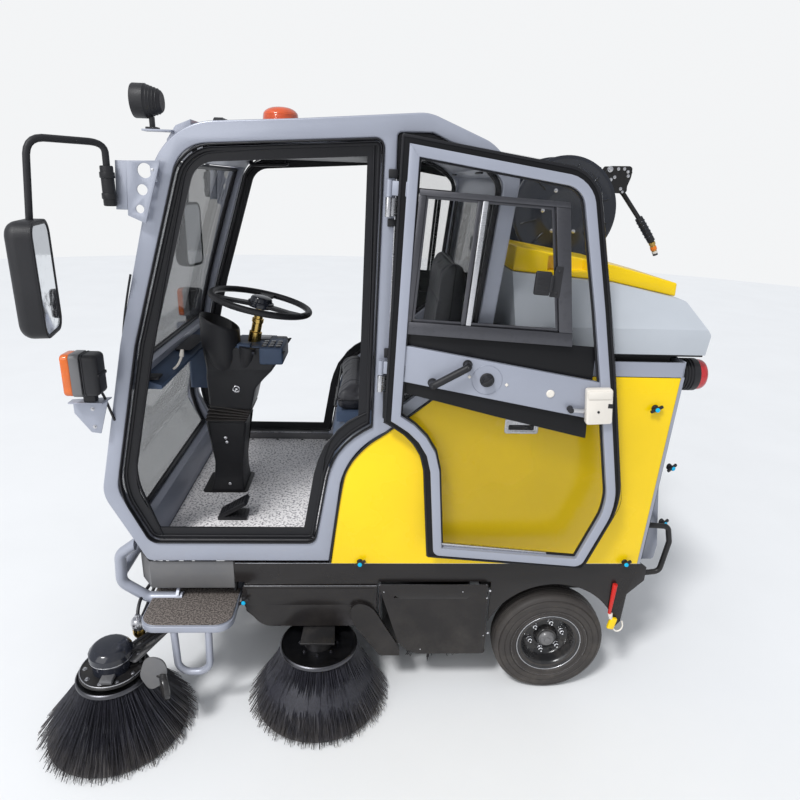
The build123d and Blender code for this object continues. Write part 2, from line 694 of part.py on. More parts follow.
def reel_stand():
    """Foot, shaft and the arm that carries the hose guide."""
    x, y, z = reel_place
    base = block(x - 90, x + 90, y + 112, y + 172, reel_floor_z, reel_floor_z + 8)
    upright = slab(outline((x - 60, reel_floor_z + 8), (x + 60, reel_floor_z + 8), (x + 30, z + 28),
                           (x - 30, z + 28)), y + 118, y + 128)
    shaft = rod((x, y - 112, z), (x, y + 118, z), 14)
    arm = slab(outline((x + 10, z - 14), (x + 10, z + 26), (x + 196, z + 168), (x + 214, z + 132)),
               y + 118, y + 126)
    cheek = rounded(outline((202, 1842), (212, 1878), (224, 1898), (306, 1900), (312, 1876), (298, 1852),
                            (300, 1806), (284, 1800), (252, 1824)),
                    {(306, 1900): 12, (224, 1898): 8, (300, 1806): 8})
    cheeks = slab(cheek, y - 34, y - 28) + slab(cheek, y + 28, y + 34)
    carrier = rod((236, y + 34, 1878), (236, y + 118, 1878), 9)
    rollers = [rod((place[0], y - 28, place[1]), (place[0], y + 28, place[1]), 11)
               for place in ((236, 1878), (288, 1842), (292, 1884))]
    return base + upright + shaft + arm + cheeks + carrier + rollers


def spray_gun():
    """The hose's free end, from the reel through the guide to the gun."""
    x, y, z = reel_place
    tail = tube_along([(x + 98, y, z + 128), (236, y, 1850), (300, y, 1800), (377, y, 1710)], 24, 9)
    handle = rod((377, y, 1710), (444, y, 1622), 15)
    tip = rod((444, y, 1622), (470, y, 1568), 10)
    return tail + handle + tip


# rear end and small pieces
def rear_cover():
    low, high = (296, 556), (330, 1250)

    def skin(height):
        return low[0] + (high[0] - low[0]) * (height - low[1]) / (high[1] - low[1])

    panel = slab(outline(low, high, (330, 1298), (324, 1298), (324, 1250), (289, 556)),
                 -half_width + 20, half_width - 20)
    bump = slab(rounded(outline((skin(560), 560), (skin(560), 500), (398, 500), (404, 560), (336, 1030),
                                (skin(1030), 1030)), {(404, 560): 20, (398, 500): 12}), -400, 400)
    return panel + bump + lid_hinges()


def rear_hoop():
    return both_sides(tube_along([(306, -440, 670), (410, -440, 664), (425, -440, 600), (408, -440, 474),
                                  (290, -440, 458)], 24, 10))


def tow_eye():
    ear = plate(rounded(outline((240, -50), (240, 50), (430, 34), (430, -34)),
                        {(430, 34): 30, (430, -34): 30}), 452, 468)
    web = block(244, 286, -44, 44, 468, 500)
    return ear + web - Pos(396, 0, 460) * Cylinder(11, 60)


def tail_lamps():
    shell = rod((330, -440, 1241), (392, -440, 1241), 54)
    lens = rod((392, -440, 1241), (424, -440, 1241), 51)
    return both_sides(shell), both_sides(lens)


def mirror_bracket():
    """Folded plate with three round holes, standing off the front pillar."""
    y = -half_width
    web = outline((-1352, 1843), (-1262, 1846), (-1316, 1680), (-1362, 1700))
    plate_part = slab(web, y - 25, y - 20)
    for x, z, radius in bracket_holes:
        plate_part = plate_part - slab(Pos(x, z) * Circle(radius), y - 40, y)
    flange = slab(outline((-1352, 1843), (-1382, 1843), (-1392, 1715), (-1362, 1715)), y - 25, y - 20)
    foot = block(-1292, -1276, y - 20, y, 1790, 1832)
    return plate_part + flange + foot


def mirror_parts():
    """Clamp, bent tube, moulded head and its glass, turned towards the driver."""
    y = -half_width
    clamp = rod((-1400, y - 42, 1724), (-1400, y - 42, 1828), 17)
    arm = tube_along([(-1400, y - 42, 1828), (-1398, y - 42, 1880), (-1520, y - 200, 1884),
                      (-1548, y - 200, 1680)], 38, 9)
    face = fillet(Rectangle(172, 292).vertices(), 38)
    turn = radians(12)
    facing = Plane(origin=(-1524, y - 200, 1547), x_dir=(-sin(turn), cos(turn), 0),
                   z_dir=(cos(turn), sin(turn), 0))
    shell = loft([facing * Pos(0, 0, -62) * offset(face, -14), facing * Pos(0, 0, -34) * face,
                  facing * face])
    glass = extrude(facing * offset(face, -12), amount=3)
    return group(clamp + arm + shell), glass


def signals():
    """Folded stay on the pillar, with an indicator lamp standing on its end."""
    y = -half_width
    gusset = slab(outline((-1480, 1153), (-1584, 1142), (-1584, 1112), (-1540, 1050), (-1512, 1046)),
                  y - 28, y - 24)
    flange = plate(outline((-1478, y), (-1584, y - 28), (-1584, y - 60), (-1484, y - 60)), 1153, 1157)
    gusset = gusset + block(-1584, -1484, y - 28, y - 24, 1142, 1153)
    foot = block(-1540, -1504, y - 56, y - 28, 1157, 1188)
    cover = loft([Plane.YZ.offset(-1518) * Pos(y - 66, 1251) * RectangleRounded(72, 130, 14),
                  Plane.YZ.offset(-1468) * Pos(y - 62, 1254) * RectangleRounded(52, 104, 14)])
    body = extrude(Plane.YZ.offset(-1546) * Pos(y - 66, 1251) * RectangleRounded(72, 130, 14), amount=28)
    lens = extrude(Plane.YZ.offset(-1574) * Pos(y - 66, 1251) * RectangleRounded(70, 126, 14), amount=28)
    return gusset + flange, foot + body + cover, lens


def work_light():
    y = -half_width + 40
    shelf = plate(outline((-1318, y - 22), (-1318, y + 22), (-1238, y + 22), (-1238, y - 22)), 1922, 1927)
    stem = block(-1300, -1288, y - 8, y + 8, 1927, 1958)
    body = loft([Plane.YZ.offset(-1262) * Pos(y, 1998) * Circle(28),
                 Plane.YZ.offset(-1302) * Pos(y, 1998) * Circle(44),
                 Plane.YZ.offset(-1338) * Pos(y, 1998) * Circle(44)], ruled=True)
    return shelf - group(*front_frame()), body + stem


def beacon():
    base = Pos(-1004, 0, 1985) * Cylinder(66, 26) - cab_roof()
    dome = Pos(-1004, 0, 2021) * Cylinder(62, 46)
    return base, fillet(dome.faces().sort_by(Axis.Z)[-1].edges(), 28)


model = {}
model["cab_frame_left"] = left_side
model["cab_frame_right"] = mirror(left_side, about=Plane.XZ)
model["cab_cross_rails"] = group(*front_frame(), *rear_wall()) - cab_roof()
model["cab_roof"] = cab_roof()
model["door_seals"] = both_sides(seal)
model["door_hinges"] = both_sides(fixed_hinges())
for name, piece in (("glass", door_glass), ("frame", door_ring), ("fittings", door_fittings)):
    model["left_door_" + name] = opened(piece)
    model["right_door_" + name] = mirror(opened(piece), about=Plane.XZ)
quarter = slab(offset(quarter_window, -1), -half_width + 16, -half_width + 21)
model["cab_windows"] = group(windscreen(), low_screen(), both_sides(quarter), rear_window())

model["cab_floor"] = cab_floor()
model["battery_block"] = block(-780, -370, -420, 420, floor_z + 12, 930)
model["seat_pads"] = group(*seat())
model["steering_column"] = steering_column
model["steering_wheel"] = steering_wheel()
model["pedal"] = pedal()
model["dash_tray"] = dash_tray()

model["chassis_frame"] = group(*chassis())
model["body_frame"] = group(*body_frame())
model["side_skirts"] = both_sides(skirt())
model["brush_access_doors"] = both_sides(access_door())
model["front_apron"] = front_apron()
model["bumper_bar"] = bumper()
model["steps"] = both_sides(step())
model["side_panels"] = both_sides(side_panel())
model["panel_edging"] = both_sides(panel_edging())
model["rear_cover"] = rear_cover()
model["dust_hopper"] = dust_hopper()

model["rear_lid"] = rear_lid()
model["lid_cover"] = lid_cover()
model["hose_reel"], model["wound_hose"] = reel_parts()
model["reel_stand"] = reel_stand()
model["spray_gun"] = spray_gun()

mirror_head, mirror_glass = mirror_parts()
signal_stay, signal_body, signal_lens = signals()
lamp_shelf, lamp_body = work_light()
tail_shell, tail_lens = tail_lamps()
beacon_base, beacon_dome = beacon()
bracket = mirror_bracket() - group(mirror_head)
model["lamp_brackets"] = group(both_sides(group(bracket, signal_stay, lamp_shelf)))
model["mirrors"] = both_sides(mirror_head)
model["mirror_glass"] = both_sides(mirror_glass)
model["lamp_housings"] = group(both_sides(group(signal_body, lamp_body)), tail_shell, beacon_base)
model["amber_lenses"] = group(both_sides(signal_lens), beacon_dome)
model["red_lenses"] = tail_lens

model["rear_axle"] = rear_axle()
model["steering_fork"] = front_fork()
model["front_rim"] = at_wheel(front_rim(), front_axle_x, 0)
model["front_tyre"] = at_wheel(tyre(), front_axle_x, 0)
model["brush_hangers"] = group(both_sides(mid_motor()), main_brush_hood())
model["main_brush"] = main_brush()
for side, name in ((-1, "left"), (1, "right")):
    model["rear_rim_" + name] = at_wheel(rim(side), 0, side * rear_wheel_y)
    model["rear_tyre_" + name] = at_wheel(tyre(), 0, side * rear_wheel_y)
    arm = front_arm()
    model["front_arm_" + name] = arm if side < 0 else mirror(arm, about=Plane.XZ)
    for place, top, brush_name in ((front_brush_place, 226, "front"), (mid_brush_place, 214, "mid")):
        model[f"{brush_name}_brush_{name}"] = Pos(place[0], side * place[1], 0) * side_brush(top)

for name, part in model.items():
    moved = Pos(rear_axle_x, 0, 0) * part
    moved.label = name
    export_step(moved, f"parts/{name}.step")
    print(name, len(moved.solids()), round(moved.volume / 1e6, 3))
print(len(model), "nodes")
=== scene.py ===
import bpy
import bmesh
import json
import random
from math import radians, sin, cos, tan, pi
from mathutils import Vector, Matrix


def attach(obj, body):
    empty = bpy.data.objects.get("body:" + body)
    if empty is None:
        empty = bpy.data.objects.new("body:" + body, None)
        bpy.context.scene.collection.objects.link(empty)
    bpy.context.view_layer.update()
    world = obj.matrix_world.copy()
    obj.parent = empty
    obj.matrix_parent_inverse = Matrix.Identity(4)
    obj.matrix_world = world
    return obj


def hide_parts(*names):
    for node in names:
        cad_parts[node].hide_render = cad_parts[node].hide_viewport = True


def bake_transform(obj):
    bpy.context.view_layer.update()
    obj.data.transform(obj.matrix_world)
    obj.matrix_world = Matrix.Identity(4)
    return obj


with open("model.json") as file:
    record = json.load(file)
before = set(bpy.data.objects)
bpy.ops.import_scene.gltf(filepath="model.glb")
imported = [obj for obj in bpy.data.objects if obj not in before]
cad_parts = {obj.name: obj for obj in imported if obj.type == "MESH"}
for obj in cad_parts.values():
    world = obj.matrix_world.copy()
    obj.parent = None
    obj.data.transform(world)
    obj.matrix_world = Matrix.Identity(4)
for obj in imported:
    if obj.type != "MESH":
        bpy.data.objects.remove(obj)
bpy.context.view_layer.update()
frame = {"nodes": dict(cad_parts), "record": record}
print("frame loaded:", len(frame["nodes"]), "parts")

# the machine's own measuring point: lengths in millimetres, x from the rear axle
rearAxle = 655.5


# shader tools
class Wire:
    # one value in a material; arithmetic on it adds the Math nodes
    def __init__(self, finish, socket):
        self.finish = finish
        self.socket = socket

    def math(self, operation, *values):
        return self.finish.node("ShaderNodeMath", {"operation": operation}, dict(enumerate(values)))

    def __add__(self, other):
        return self.math("ADD", self, other)

    def __radd__(self, other):
        return self.math("ADD", other, self)

    def __sub__(self, other):
        return self.math("SUBTRACT", self, other)

    def __rsub__(self, other):
        return self.math("SUBTRACT", other, self)

    def __mul__(self, other):
        return self.math("MULTIPLY", self, other)

    def __rmul__(self, other):
        return self.math("MULTIPLY", other, self)

    def __truediv__(self, other):
        return self.math("DIVIDE", self, other)

    def __pow__(self, other):
        return self.math("POWER", self, other)

    def __gt__(self, other):
        return self.math("GREATER_THAN", self, other)

    def __lt__(self, other):
        return self.math("LESS_THAN", self, other)


class Finish:
    # a material with its Principled shader and the few calls that fill it
    def __init__(self, name, **constants):
        self.material = bpy.data.materials.new(name)
        self.material.use_nodes = True
        self.tree = self.material.node_tree
        self.shader = self.tree.nodes["Principled BSDF"]
        self.set(**constants)

    def node(self, kind, settings=None, values=None, output=0):
        added = self.tree.nodes.new(kind)
        for key, value in (settings or {}).items():
            if key == "stops":
                ramp = added.color_ramp.elements
                for place, (position, colour) in enumerate(value):
                    stop = ramp[place] if place < 2 else ramp.new(position)
                    stop.position = position
                    stop.color = (*colour, 1)
            else:
                setattr(added, key, value)
        for key, value in (values or {}).items():
            self.join(added.inputs[key], value)
        return Wire(self, added.outputs[output])

    def join(self, target, value):
        if isinstance(value, Wire):
            self.tree.links.new(value.socket, target)
        elif isinstance(value, tuple) and len(value) == 3 and len(target.default_value) == 4:
            target.default_value = (*value, 1)
        else:
            target.default_value = value

    def set(self, **values):
        # keys are the shader's socket names with the spaces taken out
        for target in self.shader.inputs:
            key = target.name.replace(" ", "")
            if key in values:
                self.join(target, values[key])
        return self

    def place(self, stretch=(1, 1, 1), turn=(0, 0, 0)):
        where = self.node("ShaderNodeTexCoord", output=3)
        if stretch == (1, 1, 1) and turn == (0, 0, 0):
            return where
        return self.node("ShaderNodeMapping", {"vector_type": "TEXTURE"},
                         {"Vector": where, "Scale": tuple(1 / part for part in stretch), "Rotation": turn})

    def height(self):
        return self.node("ShaderNodeSeparateXYZ", None, {0: self.place()}, 2)

    def noise(self, scale, detail=3, rough=0.5, stretch=(1, 1, 1), output=0):
        return self.node("ShaderNodeTexNoise", None, {"Vector": self.place(stretch), "Scale": scale,
                                                      "Detail": detail, "Roughness": rough}, output)

    def cells(self, scale, feature="F1", output=0, stretch=(1, 1, 1)):
        return self.node("ShaderNodeTexVoronoi", {"feature": feature},
                         {"Vector": self.place(stretch), "Scale": scale}, output)

    def remap(self, value, low, high, bottom=0.0, top=1.0):
        return self.node("ShaderNodeMapRange", None, {0: value, 1: low, 2: high, 3: bottom, 4: top})

    def mix(self, factor, first, second):
        return self.node("ShaderNodeMix", {"data_type": "RGBA"}, {0: factor, 6: first, 7: second}, 2)

    def bump(self, height, distance=0.001, strength=1.0):
        return self.set(Normal=self.node("ShaderNodeBump", None, {"Height": height, "Distance": distance,
                                                                  "Strength": strength}))


def shade(colour, factor):
    return tuple(min(1.0, part * factor) for part in colour)


# painted sheet metal: slight tone drift, orange peel, dust that gathers low down
def paintFinish(name, colour, rough=0.35, metal=0.0, coat=0.3, dust=0.3, dustTop=0.9, peel=0.4, shine=0.5):
    made = Finish(name, Metallic=metal, CoatRoughness=0.12, SpecularIORLevel=shine)
    drift = made.noise(2.3, 4, 0.6)
    grain = made.noise(160, 2, 0.5)
    tone = made.mix(made.remap(drift, 0.3, 0.7), shade(colour, 0.93), shade(colour, 1.05))
    low = made.remap(made.height(), 0.05, dustTop, 1, 0)
    blotch = made.remap(made.noise(9, 6, 0.7), 0.42, 0.75)
    film = low * blotch * dust
    made.set(BaseColor=made.mix(film, tone, (0.30, 0.27, 0.23)),
             Roughness=made.remap(drift, 0.2, 0.8, rough * 0.85, rough * 1.2) + film * 0.5,
             CoatWeight=coat - film * coat)
    return made.bump(grain * peel + made.noise(900, 1), 0.00025, 0.35)


# moulded plastic or powder coat: fine grain, worn lighter patches
def grainFinish(name, colour, rough=0.5, grain=700, depth=0.0003, worn=1.5, dust=0.1, dustTop=0.8, shine=0.3):
    made = Finish(name, SpecularIORLevel=shine)
    drift = made.noise(5, 5, 0.65)
    tone = made.mix(made.remap(drift, 0.35, 0.75), colour, shade(colour, worn))
    low = made.remap(made.height(), 0.0, dustTop, 1, 0)
    blotch = made.remap(made.noise(14, 6, 0.7), 0.45, 0.75)
    film = low * blotch * dust
    made.set(BaseColor=made.mix(film, tone, (0.24, 0.21, 0.18)),
             Roughness=made.remap(drift, 0.2, 0.8, rough * 0.85, min(1, rough * 1.25)) + film * 0.3)
    return made.bump(made.cells(grain), depth, 0.6)


# bare or plated metal with fine drawn lines along one direction
def metalFinish(name, colour, rough=0.25, lines=(1, 60, 60), stain=0.25):
    made = Finish(name, Metallic=1.0)
    drawn = made.noise(12, 4, 0.6, lines)
    spots = made.remap(made.noise(30, 5, 0.7), 0.5, 0.8)
    made.set(BaseColor=made.mix(spots * stain, colour, shade(colour, 0.45)),
             Roughness=made.remap(drawn, 0.2, 0.8, rough * 0.7, rough * 1.4) + spots * 0.15)
    return made.bump(drawn, 0.0002, 0.3)


def glassFinish(name, tint, alpha=0.03, smear=0.012):
    made = Finish(name, BaseColor=tint, IOR=1.5)
    edge = made.node("ShaderNodeFresnel", None, {"IOR": 1.32})
    film = made.remap(made.noise(6, 5, 0.6, (1, 1, 0.4)), 0.45, 0.8) * smear
    made.set(Alpha=edge * 0.7 + film + alpha, Roughness=film * 1.5 + 0.02)
    return made


def lensFinish(name, colour, alpha=0.9, ribs=260):
    made = Finish(name, Roughness=0.14, IOR=1.49, CoatWeight=0.6, CoatRoughness=0.05)
    depth = made.remap(made.noise(25, 3), 0.3, 0.7)
    made.set(BaseColor=made.mix(depth, shade(colour, 0.75), colour), Alpha=alpha)
    return made.bump(made.node("ShaderNodeTexWave", {"wave_type": "BANDS", "bands_direction": "Z"},
                               {"Vector": made.place(), "Scale": ribs / 20}), 0.0006, 0.4)


def rubberFinish(name, colour, rough=0.65, dust=0.2, dustTop=0.5):
    return grainFinish(name, colour, rough, 420, 0.0003, 1.35, dust, dustTop)


# speckled mat: crushed grit of two tones, with a finer grain in its bumps
def gritFinish(name, light, dark, scale=420, share=0.5, rough=0.85):
    made = Finish(name, Roughness=rough)
    coarse = made.noise(scale * 0.55, 2, 0.6)
    picked = made.remap(coarse, share - 0.06, share + 0.06)
    tone = made.mix(picked, light, dark)
    made.set(BaseColor=made.mix(made.remap(made.noise(7, 4, 0.6), 0.35, 0.75) * 0.12, tone, shade(dark, 1.4)))
    return made.bump(coarse + made.cells(scale) * 0.6, 0.0008, 0.7)


# cut bristle: streaks along the hairs, paler dusty tips near the ground
def bristleFinish(name, colour, tip, tipTop=0.10):
    made = Finish(name, Roughness=0.5)
    streak = made.noise(260, 3, 0.7, (1, 1, 0.12))
    low = made.remap(made.height(), 0.0, tipTop, 1, 0)
    tone = made.mix(made.remap(streak, 0.35, 0.7), colour, shade(colour, 3.2))
    made.set(BaseColor=made.mix(low * made.remap(made.noise(24, 4, 0.7), 0.3, 0.7) * 0.7, tone, tip))
    return made.bump(streak, 0.0004, 0.5)


# each finish with the name of a record slot; the slot is kept beside it but no piece is given it
looks = {}


def addLook(name, slot, finish, *values, **settings):
    looks[name] = (finish(name, *values, **settings), slot)


addLook("cabPaint", "cab_paint", paintFinish, (0.315, 0.335, 0.40), 0.36, 0.2, 0.35)
addLook("lidPaint", "lid_paint", paintFinish, (0.45, 0.48, 0.52), 0.45, 0.0, 0.1, peel=0.8)
addLook("yellowPaint", "yellow", paintFinish, (0.90, 0.61, 0.0), 0.26, 0.0, 0.25, 0.05, shine=0.3)
addLook("apronPaint", "apron_grey", paintFinish, (0.13, 0.13, 0.135), 0.4, 0.1, 0.2)
addLook("blackCoat", "black_steel", grainFinish, (0.013, 0.0125, 0.013), 0.38, 900, 0.0002, dust=0.12)
addLook("skirtCoat", "black_steel", paintFinish, (0.014, 0.012, 0.012), 0.28, 0.0, 0.12, 0.12, 0.5, shine=0.3)
addLook("blackPlastic", "black_plastic", grainFinish, (0.015, 0.015, 0.017), 0.42, 520, 0.0004)
addLook("glossPlastic", "black_plastic", grainFinish, (0.012, 0.014, 0.021), 0.13, 60, 0.00005, 1.3,
        shine=0.5)
addLook("blackBorder", "black_plastic", grainFinish, (0.006, 0.006, 0.007), 0.3, 300, 0.00002, 1.2, 0.04,
        shine=0.22)
addLook("dashPlastic", "dash_plastic", grainFinish, (0.045, 0.066, 0.11), 0.5, 600, 0.0004)
addLook("creamPlastic", "plain_steel", grainFinish, (0.70, 0.66, 0.60), 0.4, 500, 0.0002, 1.08, 0.1)
addLook("cyanPlastic", "black_plastic", grainFinish, (0.0, 0.42, 0.72), 0.35, 500, 0.0001, 1.15, 0.1)
addLook("redPlastic", "red", grainFinish, (0.55, 0.02, 0.015), 0.35, 500, 0.0001, 1.15, 0.15)
addLook("orangePlastic", "amber", grainFinish, (0.80, 0.20, 0.02), 0.4, 500, 0.0001, 1.15, 0.1)
addLook("seatVinyl", "seat_vinyl", grainFinish, (0.028, 0.028, 0.032), 0.42, 330, 0.0006)
addLook("clearGlass", "clear_glass", glassFinish, (0.03, 0.034, 0.034))
addLook("mirrorFace", "mirror_face", metalFinish, (0.82, 0.84, 0.86), 0.03, (1, 1, 1), 0.05)
addLook("amberLens", "amber", lensFinish, (0.78, 0.15, 0.008))
addLook("beaconLens", "amber", lensFinish, (0.72, 0.10, 0.02), 0.95, 500)
addLook("redLens", "red", lensFinish, (0.60, 0.012, 0.02))
addLook("sealRubber", "seal_rubber", rubberFinish, (0.009, 0.009, 0.011), 0.35, 0.05)
addLook("tyreRubber", "tyre_rubber", rubberFinish, (0.036, 0.032, 0.030), 0.55, 0.28)
addLook("hoseRubber", "hose_rubber", rubberFinish, (0.014, 0.014, 0.016), 0.3, 0.08)
addLook("rimBlack", "rim_black", grainFinish, (0.014, 0.014, 0.015), 0.2, 800, 0.0001, dust=0.2, shine=0.5)
addLook("plainSteel", "plain_steel", metalFinish, (0.55, 0.55, 0.57))
addLook("darkSteel", "black_steel", metalFinish, (0.10, 0.10, 0.11), 0.32, (1, 40, 40), 0.4)
addLook("chrome", "plain_steel", metalFinish, (0.80, 0.80, 0.82), 0.1, (1, 1, 1), 0.1)
addLook("brass", "plain_steel", metalFinish, (0.62, 0.42, 0.12), 0.22, (1, 1, 1), 0.2)
addLook("bristle", "bristle", bristleFinish, (0.011, 0.011, 0.015), (0.12, 0.105, 0.09))
addLook("floorGrit", "dash_plastic", gritFinish, (0.86, 0.84, 0.84), (0.26, 0.25, 0.27), 210, 0.56)
addLook("stepGrit", "black_plastic", gritFinish, (0.19, 0.165, 0.15), (0.06, 0.05, 0.045), 300, 0.5)

nodeLooks = {
    "cab_paint": "cabPaint", "lid_paint": "lidPaint", "yellow": "yellowPaint", "black_steel": "blackCoat",
    "black_plastic": "blackPlastic", "dash_plastic": "dashPlastic", "seat_vinyl": "seatVinyl",
    "clear_glass": "clearGlass", "amber": "amberLens", "red": "redLens", "mirror_face": "mirrorFace",
    "seal_rubber": "sealRubber", "tyre_rubber": "tyreRubber", "rim_black": "rimBlack",
    "plain_steel": "plainSteel", "bristle": "bristle", "hose_rubber": "hoseRubber",
    "battery_case": "blackPlastic", "apron_grey": "apronPaint",
}
for part in frame["record"]["subparts"]:
    shown = frame["nodes"][part["node"]]
    for place in shown.material_slots:
        place.material = looks[nodeLooks[part["material_slot"]]][0].material
print("materials made:", len(looks))


# mesh tools: shapes are drawn in millimetres with x from the rear axle, as in a workshop drawing
toFrame = Matrix.Diagonal((0.001, 0.001, 0.001, 1)) @ Matrix.Translation((rearAxle, 0, 0))
planes = {"side": Matrix(((1, 0, 0, 0), (0, 0, 1, 0), (0, 1, 0, 0), (0, 0, 0, 1))),
          "top": Matrix(),
          "front": Matrix(((0, 0, 1, 0), (1, 0, 0, 0), (0, 1, 0, 0), (0, 0, 0, 1)))}
sideways, upwards = (0, -1, 0), (0, 0, 1)  # out of the left side, and up


def settle(bm, fresh, matrix=None):
    # closes the new shape, turns its faces outwards and adds it to bm
    bmesh.ops.remove_doubles(fresh, verts=fresh.verts, dist=0.01)
    if matrix is not None:
        bmesh.ops.transform(fresh, matrix=matrix, verts=fresh.verts)
    bmesh.ops.recalc_face_normals(fresh, faces=fresh.faces)
    mesh = bpy.data.meshes.new("work")
    fresh.to_mesh(mesh)
    fresh.free()
    bm.from_mesh(mesh)
    bpy.data.meshes.remove(mesh)


def roundEdges(fresh, width, segments=2, angle=30):
    if width > 0:
        sharp = [edge for edge in fresh.edges if edge.is_manifold and edge.calc_face_angle() > radians(angle)]
        bmesh.ops.bevel(fresh, geom=sharp, offset=width, segments=segments, profile=0.5, affect="EDGES",
                        clamp_overlap=True, material=-1)


def standing(start, end):
    along = Vector(end) - Vector(start)
    return Matrix.Translation(start) @ along.to_track_quat("Z", "Y").to_matrix().to_4x4(), along.length


def around(count, radius, start=0, offset=0):
    # steps round a circle, as distances across and up from its middle
    for slot in range(count):
        turn = 2 * pi * (slot + offset) / count + start
        yield radius * cos(turn), radius * sin(turn)


def rectangle(left, low, right, high, cut):
    return [(left, low, cut), (right, low, cut), (right, high, cut), (left, high, cut)]


def addBlock(bm, low, high, bevel=1.5, turn=None, segments=2):
    # a box between two corners; turn moves it afterwards about its own middle
    fresh = bmesh.new()
    size = [top - bottom for bottom, top in zip(low, high)]
    bmesh.ops.create_cube(fresh, size=1, matrix=Matrix.Diagonal((*size, 1)))
    roundEdges(fresh, bevel, segments)
    middle = Matrix.Translation([(top + bottom) / 2 for bottom, top in zip(low, high)])
    settle(bm, fresh, middle @ (turn if turn is not None else Matrix()))


def outlineFace(fresh, corners, shrink=0):
    # a flat face inside an outline, moved in by shrink
    # a corner's third number is the length its rounding takes
    face = fresh.faces.new([fresh.verts.new((part[0], part[1], 0)) for part in corners])
    face.normal_update()
    facing = face.normal.z
    if shrink:
        rim = bmesh.ops.inset_region(fresh, faces=[face], thickness=shrink, use_boundary=True,
                                     use_even_offset=True)["faces"]
        bmesh.ops.delete(fresh, geom=rim, context="FACES")
    flat = [Vector((part[0], part[1], 0)) for part in corners]
    for slot, (point, part) in enumerate(zip(list(face.verts), corners)):
        if len(part) > 2:
            arriving = flat[slot] - flat[slot - 1]
            leaving = flat[(slot + 1) % len(flat)] - flat[slot]
            turn = arriving.angle(leaving) * (1 if arriving.cross(leaving).z * facing > 0 else -1)
            cut = max(1.5, part[2] - shrink * tan(turn / 2))  # shorter inside a bend, longer outside
            bmesh.ops.bevel(fresh, geom=[point], offset=cut, segments=6, profile=0.5, affect="VERTICES",
                            material=-1)


def addSlab(bm, corners, low, high, plane="side", bevel=1.0, shrink=0, band=0, frameOf=None, segments=2):
    # an outline made thick between two depths; band leaves only a rim of that width
    fresh = bmesh.new()
    outlineFace(fresh, corners, shrink)
    if band:
        outlineFace(fresh, corners, shrink + band)
        bmesh.ops.delete(fresh, geom=fresh.faces[:], context="FACES_ONLY")
        bmesh.ops.bridge_loops(fresh, edges=fresh.edges[:])
    grown = bmesh.ops.extrude_face_region(fresh, geom=fresh.faces[:])
    lifted = [item for item in grown["geom"] if isinstance(item, bmesh.types.BMVert)]
    bmesh.ops.translate(fresh, vec=(0, 0, high - low), verts=lifted)
    bmesh.ops.recalc_face_normals(fresh, faces=fresh.faces)
    roundEdges(fresh, bevel, segments)
    moved = (frameOf if frameOf is not None else planes[plane]) @ Matrix.Translation((0, 0, low))
    settle(bm, fresh, moved)


def addTurned(bm, start, end, profile, steps=40):
    # spins (distance along, radius) pairs about the line from start towards end
    fresh = bmesh.new()
    corners = [fresh.verts.new((radius, 0, along)) for along, radius in profile]
    chain = [fresh.edges.new(pair) for pair in zip(corners, corners[1:])]
    bmesh.ops.spin(fresh, geom=corners + chain, cent=(0, 0, 0), axis=(0, 0, 1), angle=2 * pi, steps=steps,
                   use_merge=True)
    settle(bm, fresh, standing(start, end)[0])


def addRod(bm, start, end, radius, radiusEnd=None, sides=20, bevel=1.0):
    fresh = bmesh.new()
    turn, length = standing(start, end)
    bmesh.ops.create_cone(fresh, cap_ends=True, segments=sides, radius1=radius,
                          radius2=radius if radiusEnd is None else radiusEnd, depth=length,
                          matrix=Matrix.Translation((0, 0, length / 2)))
    roundEdges(fresh, bevel, 2, 50)
    settle(bm, fresh, turn)


def addRing(bm, centre, towards, radius, thick, steps=48, sides=10, flat=1.0):
    fresh = bmesh.new()
    turn = (Matrix.Translation((radius, 0, 0)) @ Matrix.Rotation(pi / 2, 4, "X")
            @ Matrix.Diagonal((1, flat, 1, 1)))
    bmesh.ops.create_circle(fresh, segments=sides, radius=thick, matrix=turn)
    bmesh.ops.spin(fresh, geom=fresh.verts[:] + fresh.edges[:], cent=(0, 0, 0), axis=(0, 0, 1), angle=2 * pi,
                   steps=steps, use_merge=True)
    settle(bm, fresh, standing(centre, Vector(centre) + Vector(towards))[0])


def bent(points, bend, closed=False):
    # straight runs with a round turn of about that size at each corner of a rigid bar
    points = [Vector(point) for point in points]
    route = []
    for place, point in enumerate(points):
        if not closed and place in (0, len(points) - 1):
            route.append(point)
            continue
        before, after = points[place - 1], points[(place + 1) % len(points)]
        for other in (before, after):
            reach = min(bend, (other - point).length * 0.45)
            route.append(point + (other - point).normalized() * reach)
            if other is before:
                route.append(point)
    return route


def addTube(bm, points, radius, bend=0, closed=False, round=3):
    # a bar or hose of round section along the points
    data = bpy.data.curves.new("work", "CURVE")
    data.dimensions = "3D"
    data.bevel_depth = radius
    data.bevel_resolution = round
    data.resolution_u = 5
    data.use_fill_caps = True
    route = bent(points, bend, closed) if bend else [Vector(point) for point in points]
    spline = data.splines.new("NURBS")
    spline.points.add(len(route) - 1)
    for slot, point in zip(spline.points, route):
        slot.co = (*point, 1)
    spline.use_cyclic_u = closed
    spline.use_endpoint_u = not closed
    spline.order_u = 3
    holder = bpy.data.objects.new("work", data)
    mesh = bpy.data.meshes.new_from_object(holder)
    bm.from_mesh(mesh)
    bpy.data.meshes.remove(mesh)
    bpy.data.objects.remove(holder)
    bpy.data.curves.remove(data)


